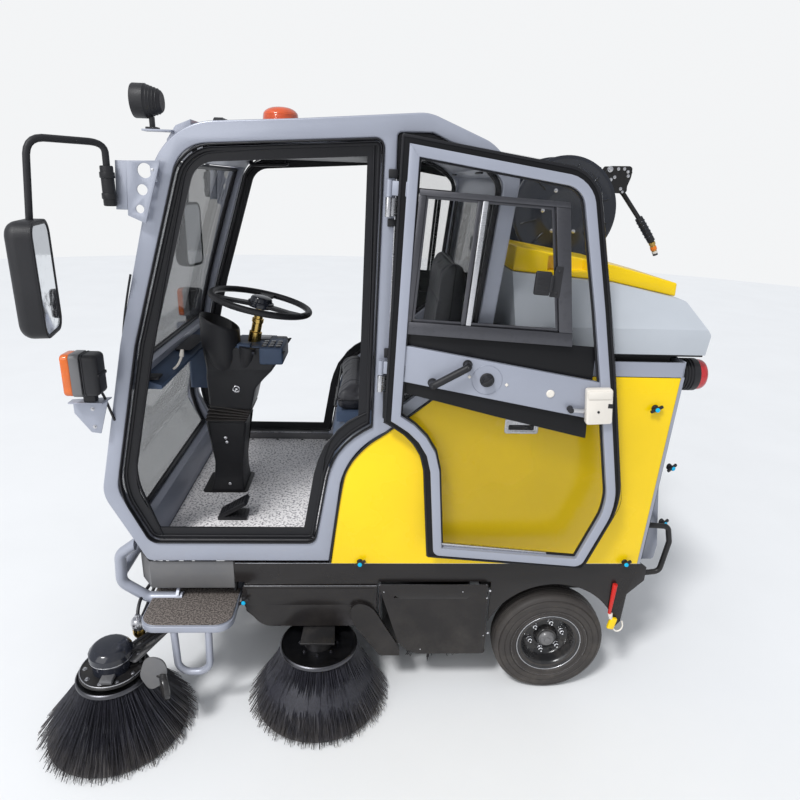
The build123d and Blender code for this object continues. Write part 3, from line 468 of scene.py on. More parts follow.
def addBolt(bm, place, towards, size=5, head="hex"):
    # washer and head standing on a surface, pointing along towards
    place, towards = Vector(place), Vector(towards).normalized()
    addRod(bm, place - towards * 0.5, place + towards * size * 0.25, size * 1.25, sides=16, bevel=size * 0.08)
    if head == "hex":
        addRod(bm, place, place + towards * size * 0.95, size * 0.85, sides=6, bevel=size * 0.1)
    elif head == "dome":
        addTurned(bm, place, place + towards,
                  [(0, size), (size * 0.3, size * 0.95), (size * 0.55, size * 0.7), (size * 0.68, size * 0.3),
                   (size * 0.7, 0)], 14)
    else:
        addRod(bm, place, place + towards * size * 0.8, size * 0.8, sides=12, bevel=size * 0.15)


pieceCount = 0


def emit(name, bm, look, body="machine", replaces=(), smooth=35, both=False, turn=None, bend=None):
    # finishes a bmesh as one piece on its body; both adds the same piece on the right side;
    # bend, given for a hose that crosses a joint, leaves the piece on no body; its other body, start and end
    # are not used
    global pieceCount
    if turn is not None:
        bmesh.ops.transform(bm, matrix=turn, verts=bm.verts)
    bmesh.ops.transform(bm, matrix=toFrame, verts=bm.verts)
    made = []
    for side in ("Left", "Right") if both else ("",):
        if side == "Right":
            bmesh.ops.transform(bm, matrix=Matrix.Diagonal((1, -1, 1, 1)), verts=bm.verts)
            bmesh.ops.reverse_faces(bm, faces=bm.faces)
        mesh = bpy.data.meshes.new(name + side)
        bm.to_mesh(mesh)
        mesh.shade_smooth()
        mesh.set_sharp_from_angle(angle=radians(smooth))
        mesh.materials.append(looks[look][0].material)
        piece = bpy.data.objects.new(name + side, mesh)
        bpy.context.scene.collection.objects.link(piece)
        swap = (lambda word: word.replace("left", "right")) if side == "Right" else (lambda word: word)
        if bend:
            swap(body)
            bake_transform(piece)
        else:
            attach(piece, swap(body))
        if replaces and not (side == "Right" and all("left" not in node for node in replaces)):
            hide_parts(*[swap(node) for node in replaces])
        made.append(piece)
        pieceCount += 1
    bm.free()
    return made


def cleanCopy(node):
    # a CAD node's mesh with its doubles merged and its flat faces joined
    bm = bmesh.new()
    bm.from_mesh(frame["nodes"][node].data)
    bmesh.ops.remove_doubles(bm, verts=bm.verts, dist=0.00001)
    bmesh.ops.dissolve_limit(bm, angle_limit=radians(1.0), verts=bm.verts, edges=bm.edges)
    return bm


def soften(node, look, body="machine", width=2.0, segments=2, smooth=35, angle=28):
    # a copy of a CAD node with its edges rounded, standing in for it
    bm = cleanCopy(node)
    roundEdges(bm, width / 1000, segments, angle)
    bmesh.ops.transform(bm, matrix=toFrame.inverted(), verts=bm.verts)
    title = "".join(word.capitalize() for word in node.split("_"))
    emit(title[0].lower() + title[1:] + "Soft", bm, look, body, (node,), smooth)


# cab: shell, seals round the doorway and the sill
cabValues = {"edgeRound": 7, "roofRound": 6, "railRound": 3, "floor": 602, "matHeight": 5}
doorwayCorners = [(-818, 879), (-860, 640, 24), (-1409, 640, 28), (-1497, 836, 70), (-1390, 1322),
                  (-1215, 1890, 80), (-654, 1927, 24), (-673, 1068), (-700, 1052), (-730, 1031), (-759, 1004),
                  (-787, 968), (-806, 922)]
glassCorners = [(-670, 1097), (-700, 1082), (-737, 1060), (-768, 1032), (-793, 995), (-808, 945), (-815, 889),
                (-848, 622, 12), (-1383, 622, 12), (-1467, 880, 70), (-1345, 1400, 120), (-1213, 1886, 80),
                (-662, 1942, 10)]
# each seal: outline, depths of its two faces, how far in it starts, its width, rounding, smoothing, look
sealRuns = {"doorSealOuter": (doorwayCorners, -527.5, -508, 0, 4.5, 2, 60, "sealRubber"),
            "doorSealInner": (doorwayCorners, -505, -488, 9, 10, 2, 60, "sealRubber"),
            "doorSealLip": (glassCorners, -504.5, -492, 17, 6, 2.4, 60, "sealRubber"),
            "doorSealWeb": (doorwayCorners, -500, -493, 8, 38, 0, 35, "sealRubber"),
            "doorSealPaleLine": (doorwayCorners, -505, -502.5, 7.2, 1.6, 0.6, 35, "darkSteel")}


def buildCabShell(values):
    for name, width in (("cab_frame_left", "edgeRound"), ("cab_frame_right", "edgeRound"),
                        ("cab_roof", "roofRound"), ("cab_cross_rails", "railRound")):
        soften(name, "cabPaint", width=values[width], segments=3, angle=35)
    soften("door_hinges", "plainSteel", width=1.0)
    soften("dash_tray", "dashPlastic", width=5, segments=3)
    for name, (outline, outer, inner, shrink, band, bevel, smooth, look) in sealRuns.items():
        bm = bmesh.new()
        addSlab(bm, outline, outer, inner, shrink=shrink, band=band, bevel=bevel)
        emit(name, bm, look, replaces=("door_seals",) if name == "doorSealOuter" else (), both=True,
             smooth=smooth)


def buildSill():
    # ribbed aluminium strip with rubber plugs along the sill, seen through the doorway
    bm = bmesh.new()
    addBlock(bm, (-1385, -519, 640), (-880, -484, 643), 1)
    for row in range(8):
        y = -515 + row * 4
        addBlock(bm, (-1383, y, 643), (-882, y + 1.8, 644.6), 0.5)
    emit("sillStrip", bm, "apronPaint", both=True)
    bm = bmesh.new()
    for x in (-1289, -978):
        addSlab(bm, rectangle(x - 17, -504.5, x + 17, -491.5, 6), 644, 647, "top", 0.8)
    emit("sillPlugs", bm, "blackPlastic", both=True)
    bm = bmesh.new()
    addBlock(bm, (-1392, -486, 606), (-868, -480, 641), 1.5)
    emit("sillEdge", bm, "plainSteel", both=True)


def buildCabGlassEdges():
    # black rubber along the edges of the front, quarter and rear panes
    windscreen = [(-1449, 1229), (-1411, 1382), (-1366, 1531), (-1316, 1690), (-1264, 1842)]
    low = [(-1464, 1162), (-1502, 990), (-1533, 818), (-1478, 697)]
    for name, run in (("windscreenEdge", windscreen), ("lowPaneEdge", low)):
        bm = bmesh.new()
        addTube(bm, [(x + 4, -472, z) for x, z in run], 9)
        emit(name, bm, "sealRubber", both=True, smooth=70)
    bm = bmesh.new()
    for x, z, radius in ((-1443, 1226, 8), (-1262, 1840, 8), (-1459, 1163, 9), (-1473, 699, 9)):
        addTube(bm, [(x, y, z) for y in (-476, -160, 160, 476)], radius)
    emit("paneCrossEdges", bm, "sealRubber", smooth=70)
    bm = bmesh.new()
    addSlab(bm, [(-622, 1112, 10), (-618, 1942, 10), (-520, 1944, 30), (-372, 1878, 30), (-312, 1820, 30),
                 (-366, 1316, 20)], -508, -496, band=16, bevel=2.5)
    emit("quarterPaneEdge", bm, "sealRubber", both=True, smooth=60)
    bm = bmesh.new()
    addTube(bm, [(-353, -408, 1424), (-317, -408, 1764), (-317, 408, 1764), (-353, 408, 1424)], 8, 40, True)
    emit("rearPaneEdge", bm, "sealRubber", smooth=70)
    # thin rod up the front post
    bm = bmesh.new()
    addTube(bm, [(-1434, -507, 1284), (-1432, -507, 1364), (-1378, -530, 1535)], 3.2)
    addRod(bm, (-1436, -500, 1278), (-1436, -512, 1292), 8)
    emit("aerialRod", bm, "blackPlastic", smooth=60)


def buildCabFloor(values):
    floor = values["floor"]
    bm = bmesh.new()
    addSlab(bm, rectangle(-1398, -474, -816, 474, 12), floor, floor + values["matHeight"], "top", 1.5)
    emit("floorMat", bm, "floorGrit")
    bm = bmesh.new()
    addSlab(bm, [(-1400, 600), (-1436, 640), (-1462, 690), (-1466, 690), (-1441, 634), (-1404, 596)], -470,
            470, bevel=0.5)
    addBlock(bm, (-1396, -478, 606), (-820, -475, 636), 1)
    addBlock(bm, (-1396, 475, 606), (-820, 478, 636), 1)
    emit("kickPlates", bm, "apronPaint")
    bm = bmesh.new()
    for y in (-452, 452):
        for x in range(-1360, -860, 120):
            addBolt(bm, (x, y * 1.02, 607), (0, 0, 1), 5, "dome")
    emit("matScrews", bm, "blackPlastic")


def buildSeatBox():
    # panel below the seat with its latch and four screws
    bm = bmesh.new()
    addSlab(bm, rectangle(-440, 640, 440, 905, 12), -816, -812.5, "front", 1.2)
    addBlock(bm, (-822, -38, 860), (-814, 38, 884), 3)
    for y in (-404, 404):
        for z in (664, 880):
            addBolt(bm, (-816, y, z), (-1, 0, 0), 6)
    emit("seatBoxPanel", bm, "dashPlastic")


def buildDash():
    bm = bmesh.new()
    addSlab(bm, rectangle(-1400, -120, -1338, 120, 10), 1203, 1206, "top", 1)
    for y in (-440, 440):
        addSlab(bm, rectangle(-1398, y - 25, -1350, y + 25, 6), 1196, 1204, "top", 2)
    emit("dashPlates", bm, "blackPlastic")
    bm = bmesh.new()
    addTube(bm, [(-1352, -300, 1184), (-1330, -300, 1200), (-1322, -296, 1232)], 4)
    addRod(bm, (-1323, -296, 1228), (-1319, -294, 1252), 8, 5)
    emit("dashLever", bm, "creamPlastic", smooth=60)


def buildCabCeiling():
    bm = bmesh.new()
    addTube(bm, [(-1190, -462, 1888), (-1190, -446, 1862), (-1040, -446, 1868), (-1040, -462, 1894)], 8, 20)
    emit("grabHandle", bm, "blackPlastic", both=True, smooth=60)
    bm = bmesh.new()
    addSlab(bm, rectangle(-1180, -440, -500, 440, 40), 1886, 1893, "top", 3)
    emit("roofLining", bm, "seatVinyl")


# hand knobs: where each stands on the left side and which way it points
rearwards = (0.4, -1, 0)
knobSpots = {"panel": [((246, -515, 1145), sideways), ((234, -512, 562), sideways),
                       ((-706, -512, 562), sideways)],
             "skirt": [((-1111, -509, 403), sideways)],
             "rear": [((392, -401, 884), rearwards), ((402, -401, 661), rearwards)]}


def buildKnobs():
    # hand screws: dark wings and stem with a blue cap
    dark, blue = bmesh.new(), bmesh.new()
    for spots in knobSpots.values():
        for place, towards in spots:
            place, towards = Vector(place), Vector(towards).normalized()
            addRod(dark, place - towards * 2, place + towards * 8, 12, 9, 18)
            addRod(dark, place + towards * 8, place + towards * 20, 7, 9, 14)
            stem = standing(place + towards * 14, place + towards * 24)[0]
            addBlock(dark, (-22, -5.5, -4), (22, 5.5, 5), 3.5, stem @ Matrix.Rotation(0.5, 4, "Z"))
            addRod(blue, place + towards * 19, place + towards * 24, 8, 7, 18, 1.5)
    emit("handKnobWings", dark, "blackPlastic", both=True)
    emit("handKnobCaps", blue, "cyanPlastic", both=True)


def buildBody():
    soften("side_panels", "yellowPaint", width=2.2, segments=3)
    soften("panel_edging", "cabPaint", width=2)
    soften("rear_cover", "cabPaint", width=5, segments=3)
    soften("side_skirts", "skirtCoat", width=1.2)
    soften("front_apron", "apronPaint", width=1.2)
    soften("steps", "cabPaint", width=3.5, segments=3)
    soften("lamp_brackets", "cabPaint", width=1.2)
    # black gasket between cab frame and yellow panel
    bm = bmesh.new()
    addTube(bm, [(-810, -516, 560), (-772, -516, 868), (-748, -516, 930), (-716, -516, 974),
                 (-676, -516, 1014), (-627, -516, 1046), (-500, -516, 1150), (-384, -516, 1246)], 3.5)
    emit("panelGasket", bm, "sealRubber", both=True, smooth=60)
    # stainless flush pull let into the yellow panel
    bm = bmesh.new()
    addSlab(bm, rectangle(-243, 1050, -132, 1102, 8), -517, -513.5, band=9, bevel=1)
    addSlab(bm, rectangle(-236, 1056, -139, 1096, 6), -514.6, -513.6, bevel=0)
    emit("flushPull", bm, "plainSteel", both=True)
    # thin black plate inside the pull: painted shade standing in for its recess
    bm = bmesh.new()
    addSlab(bm, rectangle(-230, 1062, -146, 1080, 4), -515.4, -514.4, bevel=0.4)
    emit("flushPullRecess", bm, "blackCoat", both=True)
    buildKnobs()


pressedPanel = [(-588, 424, 14), (-302, 424, 14), (-307, 190, 24), (-470, 186, 24), (-512, 262, 40)]


def buildSkirt():
    # long pressed panel on the skirt, thin steel lines along its top edges as painted highlights, the brush
    # guard's bulge and screws
    bm = bmesh.new()
    addSlab(bm, [(-1116, 459, 10), (-645, 459), (-645, 300), (-722, 288, 20), (-1050, 288, 30),
                 (-1116, 372, 30)], -508.5, -505, bevel=1.2)
    addSlab(bm, [(-1104, 448, 8), (-655, 448), (-655, 380), (-1104, 380, 8)], -510, -508, bevel=0.8)
    emit("skirtPanel", bm, "skirtCoat", both=True)
    bm = bmesh.new()
    addSlab(bm, [(-735, 392, 30), (-668, 392, 40), (-556, 196, 30), (-556, 166, 8), (-628, 166, 8),
                 (-735, 316, 30)], -522, -508, bevel=6)
    emit("brushGuardBulge", bm, "skirtCoat", both=True)
    # thin steel lines on the top edges of the skirt, its panel and the brush door: painted highlights
    bm = bmesh.new()
    addTube(bm, [(-1137, -505.5, 550), (-400, -505.5, 550), (298, -505.5, 550)], 1.6)
    addTube(bm, [(-1111, -509, 459), (-700, -509, 459), (-645, -509, 459)], 1.0)
    addTube(bm, [(-638, -517.5, 469), (-400, -517.5, 469), (-252, -517.5, 469)], 1.2)
    emit("skirtBrightLines", bm, "plainSteel", both=True)
    bm = bmesh.new()
    for place in ((-237, -505, 434), (-250, -517, 413), (-231, -505, 250), (-250, -517, 250),
                  (-338, -517, 440), (-620, -517, 440), (-480, -517, 190)):
        addBolt(bm, place, sideways, 3.4, "dome")
    emit("skirtScrews", bm, "chrome", both=True)


def buildBrushDoor():
    # door over the middle brush with its deep pressed panel
    fresh = bmesh.new()
    outlineFace(fresh, [(-640, 470, 10), (-250, 470, 10), (-240, 170, 14), (-505, 170, 30), (-560, 210, 30)])
    outlineFace(fresh, pressedPanel)
    bmesh.ops.delete(fresh, geom=fresh.faces[:], context="FACES_ONLY")
    bmesh.ops.bridge_loops(fresh, edges=fresh.edges[:])
    outlineFace(fresh, pressedPanel)
    bmesh.ops.remove_doubles(fresh, verts=fresh.verts, dist=0.01)
    sunk = [face for face in fresh.faces if face.calc_area() > 20000 and len(face.verts) > 12]
    bmesh.ops.inset_region(fresh, faces=sunk, thickness=20, use_even_offset=True)
    bmesh.ops.translate(fresh, vec=(0, 0, 9), verts=sunk[0].verts)
    bmesh.ops.recalc_face_normals(fresh, faces=fresh.faces)
    bmesh.ops.solidify(fresh, geom=fresh.faces[:], thickness=2.5)
    roundEdges(fresh, 1.6, 3, 25)
    bm = bmesh.new()
    settle(bm, fresh, planes["side"] @ Matrix.Translation((0, 0, -519)))
    addBlock(bm, (-636, -516, 300), (-632, -506, 466), 1)
    addBlock(bm, (-252, -516, 176), (-248, -506, 466), 1)
    emit("brushDoorPressed", bm, "skirtCoat", replaces=("brush_access_doors",), both=True)


def buildReleaseLever():
    # stands on the tail of the skirt, on the left side only
    bm = bmesh.new()
    addRod(bm, (212, -512, 341), (216, -512, 467), 6, 9, 16, 2)
    emit("releaseLeverGrip", bm, "redPlastic")
    bm = bmesh.new()
    addRod(bm, (220, -512, 318), (215, -512, 341), 7, 9, 16, 1)
    addTube(bm, [(232, -512, 284), (240, -513, 262), (262, -514, 264), (272, -514, 288), (264, -512, 306)], 3)
    emit("releaseLeverFerrule", bm, "creamPlastic", smooth=60)
    bm = bmesh.new()
    addBlock(bm, (214, -519, 274), (240, -505, 322), 4, Matrix.Rotation(radians(12), 4, "Y"))
    emit("releaseLeverBody", bm, "yellowPaint")


# steps with a grit top
def buildSteps():
    bm = bmesh.new()
    addSlab(bm, [(-1431, -446), (-1135, -446), (-1135, -645, 52), (-1431, -645, 52)], 403.4, 406, "top", 0.8)
    emit("stepMat", bm, "stepGrit", both=True)
    bm = bmesh.new()
    addBlock(bm, (-1434, -514, 390), (-1132, -440, 403.6), 1.5)
    emit("stepBackPlate", bm, "cabPaint", both=True)
    bm = bmesh.new()
    for x in (-1405, -1155):
        for y in (-520, -390):
            addBolt(bm, (x, y, 352), (0, 0, -1), 6)
    # thin steel line continuing the skirt's top edge forwards over the step: a painted highlight
    addTube(bm, [(-1474, -440, 553), (-1428, -503, 553), (-1300, -503, 553), (-1145, -503, 553)], 1.6)
    emit("stepBolts", bm, "plainSteel", both=True)


buildCabShell(cabValues)
buildSill()
buildCabGlassEdges()
buildCabFloor(cabValues)
buildSeatBox()
buildDash()
buildCabCeiling()
print("cab made:", pieceCount, "pieces")
buildBody()
buildSkirt()
buildBrushDoor()
buildReleaseLever()
buildSteps()
print("bodywork made:", pieceCount, "pieces")


# doors: drawn closed, then swung open about the leaning hinge line as in the CAD
doorValues = {"opened": 176, "frameRound": 3, "hinge": (-655, -542, 1068), "hingeLine": (19, 0, 859),
              "hingeHeights": (1250, 1772), "inner": -514}
doorTurn = (Matrix.Translation(doorValues["hinge"])
            @ Matrix.Rotation(radians(doorValues["opened"]), 4, Vector(doorValues["hingeLine"]))
            @ Matrix.Translation([-part for part in doorValues["hinge"]]))


def emitDoor(name, bm, look, replaces=(), smooth=35):
    emit(name, bm, look, "left_door", replaces, smooth, both=True, turn=doorTurn)


def buildDoorPanel(values):
    # ring and mid rail of the frame, with the hinge arms and their knuckles
    bm = bmesh.new()
    ringCorners = glassCorners[:7] + [(-848, 622, 42), (-1383, 622, 42)] + glassCorners[9:]
    addSlab(bm, ringCorners, -531.6, -506, shrink=25, band=29, bevel=values["frameRound"], segments=3)
    addSlab(bm, [(-705, 1356.4), (-1335, 1286.7), (-1362, 1163.8), (-702, 1244.5)], -531.5, -514, bevel=2.5,
            segments=3)
    hingeX, hingeY, hingeZ = values["hinge"]
    for height in values["hingeHeights"]:
        x = hingeX + values["hingeLine"][0] / values["hingeLine"][2] * (height - hingeZ)
        addBlock(bm, (x - 76, hingeY - 4, height + 5), (x - 7, hingeY + 4, height + 44), 1.5)
        addBlock(bm, (x - 76, hingeY - 4, height + 5), (x - 46, values["inner"], height + 44), 1.5)
        addTurned(bm, (x, hingeY, height + 1), (x + 1, hingeY, height + 46),
                  [(0, 4.8), (0, 9), (45, 9), (45, 4.8), (0, 4.8)], 28)
    emitDoor("doorFrame", bm, "cabPaint", ("left_door_frame",))
    bm = bmesh.new()
    addSlab(bm, glassCorners, -531.8, -530.6, shrink=1.5, band=26, bevel=0)
    # black wedges on the glass, below the sliding window and below the mid rail
    addSlab(bm, [(-722, 1394), (-1290, 1394), (-1296, 1291), (-722, 1354)], -531.6, -529.4, bevel=0.5)
    addSlab(bm, [(-722, 1243), (-1302, 1172), (-1308, 1100), (-1020, 1148), (-722, 1203)], -531.6, -529.4,
            bevel=0.5)
    emitDoor("doorBlackBorder", bm, "blackBorder")
    bm = bmesh.new()
    addSlab(bm, glassCorners, -531.9, -528.3, shrink=2, band=8, bevel=1.5)
    addSlab(bm, glassCorners, -531, -523, shrink=53.6, band=6, bevel=2)
    emitDoor("doorEdgeRubber", bm, "sealRubber", smooth=60)
    bm = bmesh.new()
    addSlab(bm, [(-1250, 673, 2), (-884, 673, 2), (-886, 688, 2), (-1246, 684, 2)], -530, -521, bevel=1.5)
    emitDoor("doorFootStrip", bm, "plainSteel")
    # two diamond plugs and a round button on the mid rail
    bm = bmesh.new()
    for x, z in ((-921, 1275), (-1036, 1259)):
        addSlab(bm, [(x, z - 6), (x + 6, z), (x, z + 6), (x - 6, z)], -514.5, -511, bevel=1)
    addTurned(bm, (-1172, -514, 1242), (-1172, -500, 1242), [(-1, 0), (-1, 12.5), (2, 12.5), (4, 10),
                                                             (4.6, 0)], 24)
    emitDoor("doorRailPlugs", bm, "creamPlastic")


def buildDoorWindow():
    # brushed dark frame of the sliding panes with its divider and catch
    left, right, high, low = -724, -1143, 1800, 1392
    rails = (((left, high), (right, high - 3), (right - 2, high - 18), (left, high - 16)),
             ((left + 10, low + 36), (-1208, low + 40), (-1214, low), (left + 12, low - 2)),
             ((left, high - 16), (left - 20, high - 16), (left - 8, low + 36), (left + 10, low + 36)),
             ((right + 38, high - 18), (right - 2, high - 18), (-1208, low + 40), (-1168, low + 40)))
    bm = bmesh.new()
    for rail in rails:
        addSlab(bm, rail, -531.5, -514, bevel=2)
    addSlab(bm, [(left - 18, high - 15), (right + 40, high - 17), (-1170, low + 40), (left - 8, low + 36)],
            -528, -523, band=9, bevel=1)
    emitDoor("windowFrame", bm, "darkSteel", ("left_door_fittings",))
    bm = bmesh.new()
    addSlab(bm, [(-888, high - 17), (-900, high - 17), (-890, low + 37), (-878, low + 37)], -530, -519,
            bevel=2)
    emitDoor("windowDivider", bm, "darkSteel")
    bm = bmesh.new()
    addSlab(bm, [(-902, high - 17), (-918, high - 17), (-908, low + 37), (-892, low + 37)], -526, -516,
            bevel=3)
    emitDoor("windowPaneEdge", bm, "plainSteel")
    # catch of the sliding pane: ribbed block on a screwed plate
    bm = bmesh.new()
    addBlock(bm, (-1120, -514, 1538), (-1074, -500, 1606), 5, segments=3)
    addBlock(bm, (-1126, -508, 1548), (-1116, -498, 1596), 3)
    addSlab(bm, [(-1122, 1534, 3), (-1152, 1534, 3), (-1152, 1622, 3), (-1130, 1622, 3)], -514.5, -511.5,
            bevel=0.8)
    for row in range(4):
        addBlock(bm, (-1112, -501, 1548 + row * 13), (-1082, -498.5, 1554 + row * 13), 1)
    for z in (1546, 1608):
        addBolt(bm, (-1141, -511.5, z), (0, 1, 0), 4, "dome")
    emitDoor("windowCatch", bm, "blackPlastic")


def buildDoorHandles(values):
    ringFace = values["inner"]
    bm = bmesh.new()
    addTube(bm, [(-811, ringFace, 1247), (-811, -478, 1247), (-911, -478, 1313), (-911, ringFace, 1313)],
            11.5, 12)
    emitDoor("doorPull", bm, "blackPlastic", smooth=60)
    bm = bmesh.new()
    for x, z in ((-811, 1247), (-911, 1313)):
        addRod(bm, (x, ringFace, z), (x, ringFace + 6, z), 15, 14, 24, 1.5)
        addBolt(bm, (x, -466.5, z), (0, 1, 0), 5, "dome")
    # window knob with its pointer, then the button beside the latch
    addTurned(bm, (-975, ringFace, 1269), (-975, 0, 1269),
              [(0, 0), (0, 22), (3, 22), (5, 18), (8, 17), (20, 15.5), (24, 13), (25, 0)], 32)
    addBlock(bm, (-993, -492, 1264), (-957, -486, 1274), 2.5, Matrix.Rotation(radians(35), 4, "Y"))
    addRod(bm, (-1238, ringFace, 1200), (-1238, -488, 1200), 10, 8, 20, 2)
    emitDoor("doorPullEnds", bm, "blackPlastic")
    bm = bmesh.new()
    addRing(bm, (-975, ringFace, 1269), (0, 1, 0), 46, 1.0, 48, 6)
    emitDoor("doorKnobGroove", bm, "cabPaint", smooth=60)
    bm = bmesh.new()
    addSlab(bm, [(-1272, 1272, 8), (-1350, 1280, 8), (-1366, 1170, 8), (-1288, 1160, 8)], -512, -484, bevel=4)
    addSlab(bm, [(-1276, 1268, 6), (-1346, 1275, 6), (-1350, 1250, 4), (-1280, 1243, 4)], -485, -480.5,
            bevel=1.5)
    emitDoor("doorLatchBox", bm, "creamPlastic")
    # black block and disc on the latch box: painted shade standing in for its holes
    bm = bmesh.new()
    addBlock(bm, (-1357, -486, 1220), (-1343, -483, 1234), 1)
    addRod(bm, (-1318, -485, 1205), (-1318, -482, 1205), 4, sides=12)
    emitDoor("doorLatchHole", bm, "blackPlastic")
    bm = bmesh.new()
    addBlock(bm, (-1286, -503, 1193), (-1236, -496, 1207), 2.5)
    emitDoor("doorLatchLever", bm, "plainSteel")


def buildHingeRod():
    bm = bmesh.new()
    addTube(bm, [(-628, -525, 1088), (-626, -525, 1300), (-622, -525, 1600), (-618, -525, 1820)], 3)
    emit("hingeSideRod", bm, "plainSteel", both=True, smooth=60)
    bm = bmesh.new()
    for low, high in ((1100, 1192), (1300, 1330), (1690, 1712), (1822, 1846)):
        addBlock(bm, (-641, -528, low), (-614, -520, high), 2.5)
    emit("hingePads", bm, "blackPlastic", both=True)


buildDoorPanel(doorValues)
buildDoorWindow()
buildDoorHandles(doorValues)
buildHingeRod()
print("doors made:", pieceCount, "pieces")

# wheels: ringed side walls, deep black dish, thin steel rings as painted highlights on the rolled edge and
# tyre wall
wheelValues = {"axleHeight": 207.5, "rearSide": -467.5, "frontAxle": -1090, "steps": 96, "nuts": 6,
               "nutCircle": 62}
tyreProfile = [(36, 101), (41, 104), (42, 118), (45, 124), (48.5, 127), (48.5, 130), (46.5, 132), (49, 138),
               (50.5, 143), (48.2, 145), (51.6, 148), (52.4, 158), (52.2, 162), (49.6, 165), (52, 168),
               (51.5, 176), (50, 184), (45.5, 186.5), (47.2, 190), (44.5, 196), (40, 201.5), (33, 204.6),
               (26, 205.8), (25, 202.5), (21, 202.3), (20, 206.4), (8, 207.2), (7, 203), (3, 202.8),
               (2, 207.4)]
rimProfile = [(41, 121), (43.6, 121.4), (44, 118), (43, 112), (38, 101), (31, 96), (24, 93), (3, 88),
              (-4, 84), (-8, 76), (-8, 58), (-6, 46), (-1, 42), (9, 40), (13, 37), (14, 31), (14, 16),
              (-24, 16), (-24, 40), (-16, 46), (-16, 88), (-37, 96), (-44, 103), (-44, 121), (-41, 121),
              (-41, 105), (-36, 100.4), (36, 100.4), (41, 105), (41, 121)]


def addTyre(bm, centre, values):
    loop = tyreProfile + [(-along, radius) for along, radius in reversed(tyreProfile)]
    loop.append(tyreProfile[0])
    addTurned(bm, centre, Vector(centre) + Vector((0, -1, 0)), loop, values["steps"])


def buildWheels(values):
    high = values["axleHeight"]
    centre = (0, values["rearSide"], high)
    bm = bmesh.new()
    addTyre(bm, centre, values)
    emit("rearTyre", bm, "tyreRubber", "rear_wheel_left", ("rear_tyre_left",), 40, both=True)
    bm = bmesh.new()
    addTyre(bm, (values["frontAxle"], 0, high), values)
    emit("frontTyre", bm, "tyreRubber", "front_wheel", ("front_tyre",), 40)
    soften("front_rim", "rimBlack", "front_wheel", 1.5)
    bm = bmesh.new()
    addTurned(bm, centre, Vector(centre) + Vector((0, -1, 0)), rimProfile, 72)
    for across, up in around(8, 80, offset=0.5):
        spot = Vector(centre) + Vector((across, 7, up))
        addRod(bm, spot, spot + Vector((0, -1.6, 0)), 5.5, sides=14, bevel=0.4)
    emit("rearRim", bm, "rimBlack", "rear_wheel_left", ("rear_rim_left",), 38, both=True)
    # thin steel rings on the black rim's rolled edge and on the tyre wall: painted highlights
    bm = bmesh.new()
    addRing(bm, (0, -511, high), (0, 1, 0), 119.3, 2.0, 72, 8)
    addRing(bm, (0, -516.8, high), (0, 1, 0), 141.5, 0.8, 96, 6)
    emit("rearRimEdge", bm, "plainSteel", "rear_wheel_left", smooth=60, both=True)
    bm = bmesh.new()
    for x, up in around(values["nuts"], values["nutCircle"], 0.3):
        z = high + up
        addRod(bm, (x, -459.5, z), (x, -463.5, z), 11, 10, 20, 0.8)  # washer
        addRod(bm, (x, -463.5, z), (x, -474, z), 10, 9, 6, 0.8)  # nut
        addRod(bm, (x, -474, z), (x, -485, z), 5.5, 3.5, 14, 1.2)  # end of the stud
    emit("rearLugNuts", bm, "chrome", "rear_wheel_left", both=True)
    bm = bmesh.new()
    addTurned(bm, (0, -481.5, high), (0, -520, high),
              [(0, 0), (0, 30), (5, 30), (7, 27), (12, 25), (14, 22), (14, 12), (17, 11), (18, 8), (18, 0)],
              40)
    for across, up in around(5, 20):
        addBolt(bm, (across, -494, high + up), sideways, 2.6)
    emit("rearHub", bm, "apronPaint", "rear_wheel_left", both=True)


# brushes: a flat steel plate with bundles of cut bristle fanned out below it
# front and mid: x, y, height of the plate's top and radius of the plate
brushValues = {"bundles": 58, "hairs": 13, "reach": 255, "farthest": 258, "front": (-1530, -650, 226, 118),
               "mid": (-850, -530, 240, 138)}


def addHair(bm, start, end, radius):
    turn, length = standing(start, end)
    bmesh.ops.create_cone(bm, cap_ends=False, segments=3, radius1=radius, radius2=radius * 0.55, depth=length,
                          matrix=turn @ Matrix.Translation((0, 0, length / 2)))


